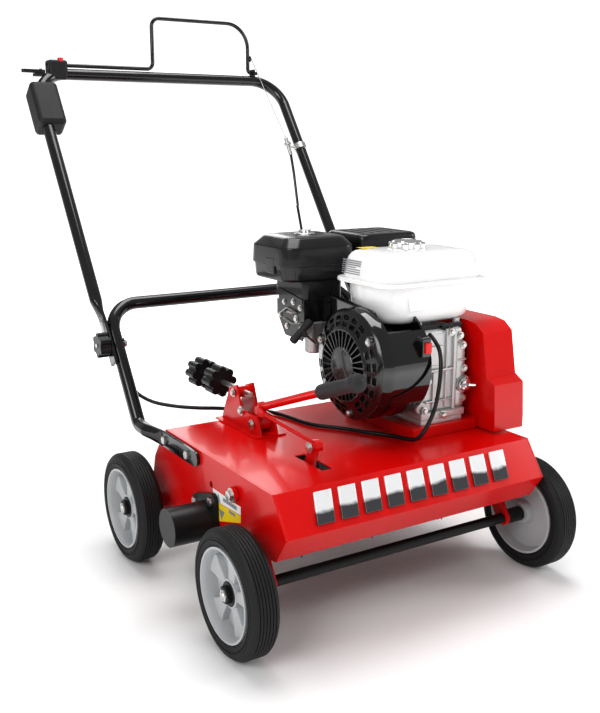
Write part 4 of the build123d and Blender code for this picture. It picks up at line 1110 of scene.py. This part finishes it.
def slopeSpot(x, along, rear=0):
    return spot(x, foldPivot["y"] + math.cos(foldPivot["slope"]) * along + math.sin(foldPivot["slope"]) * rear,
                foldPivot["z"] + math.sin(foldPivot["slope"]) * along - math.cos(foldPivot["slope"]) * rear)


cables = {
    "controlLead": {"node": "control_lead_lower", "radius": 0.0035, "fixedBelow": spot(-236, 468, 274),
                    "movesAbove": slopeSpot(-289, 122, 16), "points": [
        slopeSpot(-289, 150, 16), slopeSpot(-289, 122, 16), slopeSpot(-286, 95, 17), spot(-264, 552, 372),
        spot(-258, 505, 296), spot(-236, 468, 274), spot(-200, 430, 268), spot(-160, 404, 265),
        spot(-128, 388, 264),
        spot(-90, 366, 261), spot(-50, 340, 259), spot(-36, 285, 259), spot(-30, 220, 259), spot(12, 170, 259),
        spot(30, 130, 259), spot(50, 104, 259), spot(60, 84, 259), spot(62, 52, 262), spot(66, 28, 268),
        spot(88, 20, 310), spot(98, 20, 352), spot(108, 28, 398), spot(113, 44, 424), spot(114, 68.5, 436)]},
    "clutchCable": {"node": "clutch_cable_lower", "radius": 0.003, "fixedBelow": spot(249, 520, 332),
                    "movesAbove": spot(257, 715, 590), "points": [
        spot(258, 730, 610), spot(257, 715, 570), spot(254, 682, 495), spot(251, 640, 424), spot(250, 585, 362),
        spot(249, 520, 332), spot(247, 460, 326), spot(246, 400, 330), spot(246, 350, 342), spot(246, 300, 351),
        spot(248, 268, 352), spot(250, 241, 352)]},
}


for name, look in cables.items():
    settle(bentWire(name, look["points"], look["radius"]), "chassis", paints["smoothPlastic"], [look["node"]],
           angle=60,
           bend={"to": "upper_handle", "start": look["fixedBelow"], "end": look["movesAbove"]})
print("cables made")

# carried shapes, with rounded edges
carried = {
    "redPaint": {"deck": 0.0012, "side_plates": 0.0006, "engine_platform": 0.0012, "belt_guard": 0.0014,
                 "lift_bracket": 0.0006, "rocker_shaft": 0.0006, "lift_lever": 0.0006, "link_rod": 0.0006},
    "blackSteel": {"front_axle": 0.0004, "rear_axle": 0.0004, "rotor_shaft": 0.0005, "rotor_spacers": 0.0004},
    "zinc": {"frame_bolts": 0.0004, "depth_screw": 0.0003, "idler_arm": 0.0004, "cable_adjuster": 0.0004},
    "blackCover": {"blower_housing": 0.0012, "muffler": 0.001},
    "castAlloy": {"crankcase": 0.001, "carburettor": 0.0008},
    "whitePaint": {"fuel_tank": 0.001},
    "chrome": {"fuel_cap": 0.0015, "oil_cap": 0.0008},
    "smoothPlastic": {"bearing_housings": 0.0015, "depth_knob": 0.002, "lock_knob": 0.002, "left_fold_knob": 0.002,
                      "right_fold_knob": 0.002, "throttle_paddle": 0.0015, "choke_lever": 0.0005,
                      "idler_pulley": 0.0005, "recoil_cover": 0.0008, "starter_grip": 0.001},
    "blackPlastic": {"air_cleaner": 0.0015, "control_box": 0.0015, "drive_belt": 0.0003},
    "gripRubber": {"lever_grip": 0.001},
    "bladeSteel": {"rotor_blades": 0.0003, "crankshaft": 0.0004},
    "castIron": {"rotor_pulley": 0.0005, "crank_pulley": 0.0005},
    "redPlastic": {"safety_button": 0.0008, "switch_rocker": 0.0004},
    "blackTube": {"lower_handle": 0.0, "upper_handle": 0.0, "bail": 0.0, "clutch_cable_upper": 0.0,
                  "control_lead_upper": 0.0},
}
for paint, group in carried.items():
    for node, width in group.items():
        if node not in done:
            roundedCopy(node, paints[paint], width)
# the wire and the rope keep their placement baked in and are left out of every body
low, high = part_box("clutch_wire")
middle = ((low[0] + high[0]) / 2, (low[1] + high[1]) / 2)
roundedCopy("clutch_wire", paints["wire"], 0.0,
            bend={"to": "bail", "start": (*middle, low[2]), "end": (*middle, high[2])})
low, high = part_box("starter_rope")
roundedCopy("starter_rope", paints["rope"], 0.0,
            bend={"to": "chassis", "start": (low[0], high[1], high[2]), "end": (high[0], low[1], low[2])})
print("carried shapes rounded")
